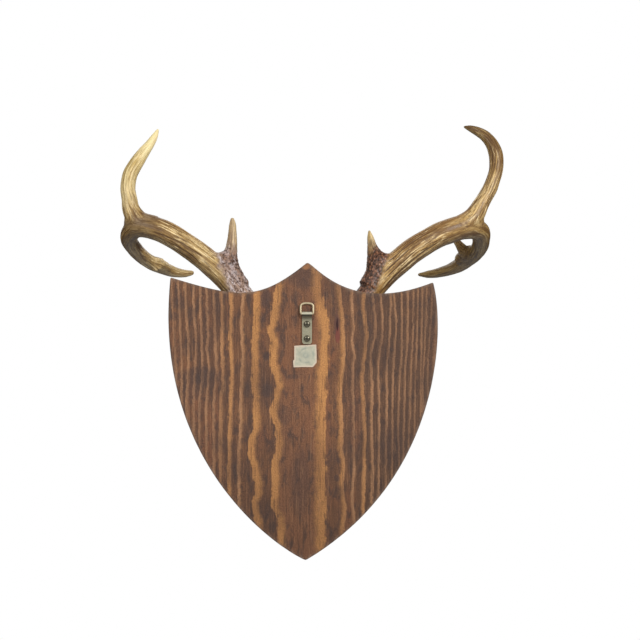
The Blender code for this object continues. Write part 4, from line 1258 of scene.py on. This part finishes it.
def tape_piece(material):
    """A torn square of tape with a round emboss, a crease, wrinkles and edges that lift here and there."""
    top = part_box("tape_patch")[1].z - 0.012 * TAPE_HEIGHT
    loop = np.array([(TAPE_WIDTH * side, top - TAPE_HEIGHT * down) for side, down in TAPE_OUTLINE])
    loop = rounded_loop(even_points(loop, 0.30 * MM, closed=True), 2)
    torn = np.pad(loop, ((0, 0), (0, 1)))
    jag = noise(torn / (0.9 * MM), 21) * 0.16 * MM + noise(torn / (2.6 * MM), 22) * 0.16 * MM
    ragged = ramp(top - loop[:, 1], 0.75 * TAPE_HEIGHT, 0.95 * TAPE_HEIGHT)
    loop = loop + loop_inwards(loop) * (np.abs(jag) * (0.35 + 0.65 * ragged))[:, None]
    points, triangles = filled(loop, 0.42 * MM, 0.42 * MM)
    flat = np.pad(points, ((0, 0), (0, 1)))
    inward = least_distance(points, loop)
    centre = np.array([0.0012, top - 0.47 * TAPE_HEIGHT])
    away = np.linalg.norm(points - centre, axis=1) + noise(flat / (5 * MM), 25) * 0.7 * MM
    ring = bell(away, 7.8 * MM, 1.2 * MM) * 0.22 + bell(away, 2.2 * MM, 0.8 * MM) * 0.10
    stamp = ring * MM * ramp(noise(flat / (4 * MM), 26), -0.8, 0.3)
    stamp += 0.12 * MM * (1 - ramp(away, 2.0 * MM, 7.0 * MM))
    crease_line = top - 0.735 * TAPE_HEIGHT + 0.02 * points[:, 0]
    skin = TAPE_SKIN + stamp - 0.09 * MM * bell(points[:, 1], crease_line, 0.35 * MM)
    skin += noise(flat / (3.2 * MM), 23) * 0.05 * MM
    skin += 0.16 * MM * (1 - ramp(inward, 0.0, 1.6 * MM)) * ramp(noise(flat / (6 * MM), 24), -0.1, 0.7)
    verts = np.vstack([upright(points, skin), upright(points, skin - TAPE_THICKNESS)])
    count = len(points)
    faces = triangles + [tuple(i + count for i in reversed(triangle)) for triangle in triangles]
    for j in range(len(loop)):
        k = (j + 1) % len(loop)
        faces.append((j, k, count + k, count + j))
    return turn_faces_out(make_piece("tape_paper", verts, faces, material, 40,
                                     # Near the edges, where the colour gets a painted highlight
                                     edge=np.tile(1 - ramp(inward, 0.5 * MM, 2.4 * MM), 2),
                                     stamp=np.tile(stamp / (0.11 * MM), 2)))


def tape_material():
    paint = Paint("tape_crepe")
    crepe = paint.noise((1900.0, 900.0, 420.0), 3.0, 0.6)
    cloud = paint.noise(240.0, 3.0, 0.6)
    # Patches of grime on the tape
    grime = paint.noise(90.0, 3.0, 0.6)
    colour = paint.mix(cloud.spread(0.3, 0.7), (0.360, 0.355, 0.275), (0.455, 0.430, 0.325)).under(
        (grime.spread(0.5, 0.75, 0.0, 0.35), (0.30, 0.28, 0.20)),
        # Lighter along the torn edges: painted highlight
        (paint.number("edge") * 0.70, (0.60, 0.47, 0.36)),
        (paint.number("stamp") * 0.40, (0.27, 0.29, 0.24)))
    return paint.finished((crepe + cloud * 0.4, 0.00012, 0.6), Base_Color=colour, Specular_IOR_Level=0.30,
                          Roughness=cloud.spread(0.3, 0.7, 0.70, 0.86))


# The pieces on their bodies

settle(board_piece(wood_material()), "plaque", "shield_board")
horn = antler_material()
settle(antler_piece("antler_left_horn", horn, **LEFT_ANTLER), "plaque", "antler_left")
settle(antler_piece("antler_right_horn", horn, **RIGHT_ANTLER), "plaque", "antler_right")
settle(cap_piece(leather_material()), "plaque", "skull_cap")
strap_steel = metal_material("strap_steel", (0.40, 0.375, 0.265), (0.29, 0.265, 0.18), 0.42,
                             (0.33, 0.33, 0.23), (0.075, 0.058, 0.036), (0.70, 0.45))
settle(strap_piece(strap_steel), "plaque", "hanger_strap")
ring_brass = metal_material("ring_brass", (0.64, 0.54, 0.36), (0.48, 0.39, 0.24), 0.44,
                            (0.42, 0.36, 0.24), (0.24, 0.18, 0.10), (0.75, 0.50))
settle(ring_piece(ring_brass), "ring", "hanger_ring")
screw_steel = metal_material("screw_steel", (0.15, 0.14, 0.10), (0.085, 0.075, 0.055), 0.30,
                             (0.10, 0.09, 0.06), (0.05, 0.04, 0.03), (0.95, 0.60))
for screw in ("screw_upper", "screw_lower"):
    settle(screw_piece(screw + "_head", screw, screw_steel), "plaque", screw)
settle(tape_piece(tape_material()), "plaque", "tape_patch")


# Floor, light and camera

def studio_world():
    """A soft room that is brighter above and behind the camera, and plain white where the camera sees it."""
    world = bpy.data.worlds.new("studio")
    world.use_nodes = True
    room = Nodes(world.node_tree)
    ways = room.add("TexCoord", {}, "Generated")
    above = room.axis(2, ways).spread(-0.70, 0.80, 0.19, 0.82)
    behind = room.axis(1, ways).spread(-0.35, 0.90, 0.26, 1.0)
    seen = room.add("LightPath", {}, "Is Camera Ray")
    background = world.node_tree.nodes["Background"]
    background.inputs["Color"].default_value = (1.0, 1.0, 1.0, 1.0)
    room.put(background.inputs["Strength"], room.add("Mix", {0: seen, 2: above * behind, 3: 1.0}))
    return world


def floor_piece():
    mesh = bpy.data.meshes.new("floor")
    corners = [(-1, -1), (1, -1), (1, 1), (-1, 1)]
    mesh.from_pydata([(x * FLOOR_HALF_WIDTH, y * FLOOR_HALF_WIDTH, FLOOR_HEIGHT) for x, y in corners],
                     [], [(0, 1, 2, 3)])
    mesh.materials.append(Paint("floor_paper").finished(Base_Color=(0.80, 0.80, 0.79), Roughness=0.9))
    floor = bpy.data.objects.new("floor", mesh)
    bpy.context.scene.collection.objects.link(floor)


def lamp(name, place, target, size, power):
    light = bpy.data.lights.new(name, "AREA")
    light.shape = "DISK"
    light.size = size
    light.energy = power
    obj = bpy.data.objects.new(name, light)
    bpy.context.scene.collection.objects.link(obj)
    obj.location = place
    obj.rotation_euler = (Vector(target) - Vector(place)).to_track_quat("-Z", "Y").to_euler()


def studio():
    scene = bpy.context.scene
    scene.view_settings.view_transform = "Standard"
    scene.view_settings.look = "None"
    scene.world = studio_world()
    floor_piece()
    lamp("right", (-1.25, 1.50, 0.95), (0.0, 0.0, -0.02), 0.30, 34.0)
    lamp("left", (1.15, 1.55, 0.75), (0.0, 0.0, -0.02), 0.6, 11.0)
    lamp("front", (0.30, -2.00, 0.80), (0.0, 0.0, 0.0), 2.4, 20.0)
    camera = bpy.data.objects.new("camera", bpy.data.cameras.new("camera"))
    scene.collection.objects.link(camera)
    camera.location = CAMERA_PLACE
    camera.rotation_euler = (math.radians(90), 0.0, math.radians(180))
    camera.data.sensor_width = SENSOR_WIDTH
    camera.data.lens = SENSOR_WIDTH * CAMERA_PLACE[1] / (IMAGE_WIDTH * PIXEL)
    camera.data.clip_start = 0.01
    scene.camera = camera


studio()
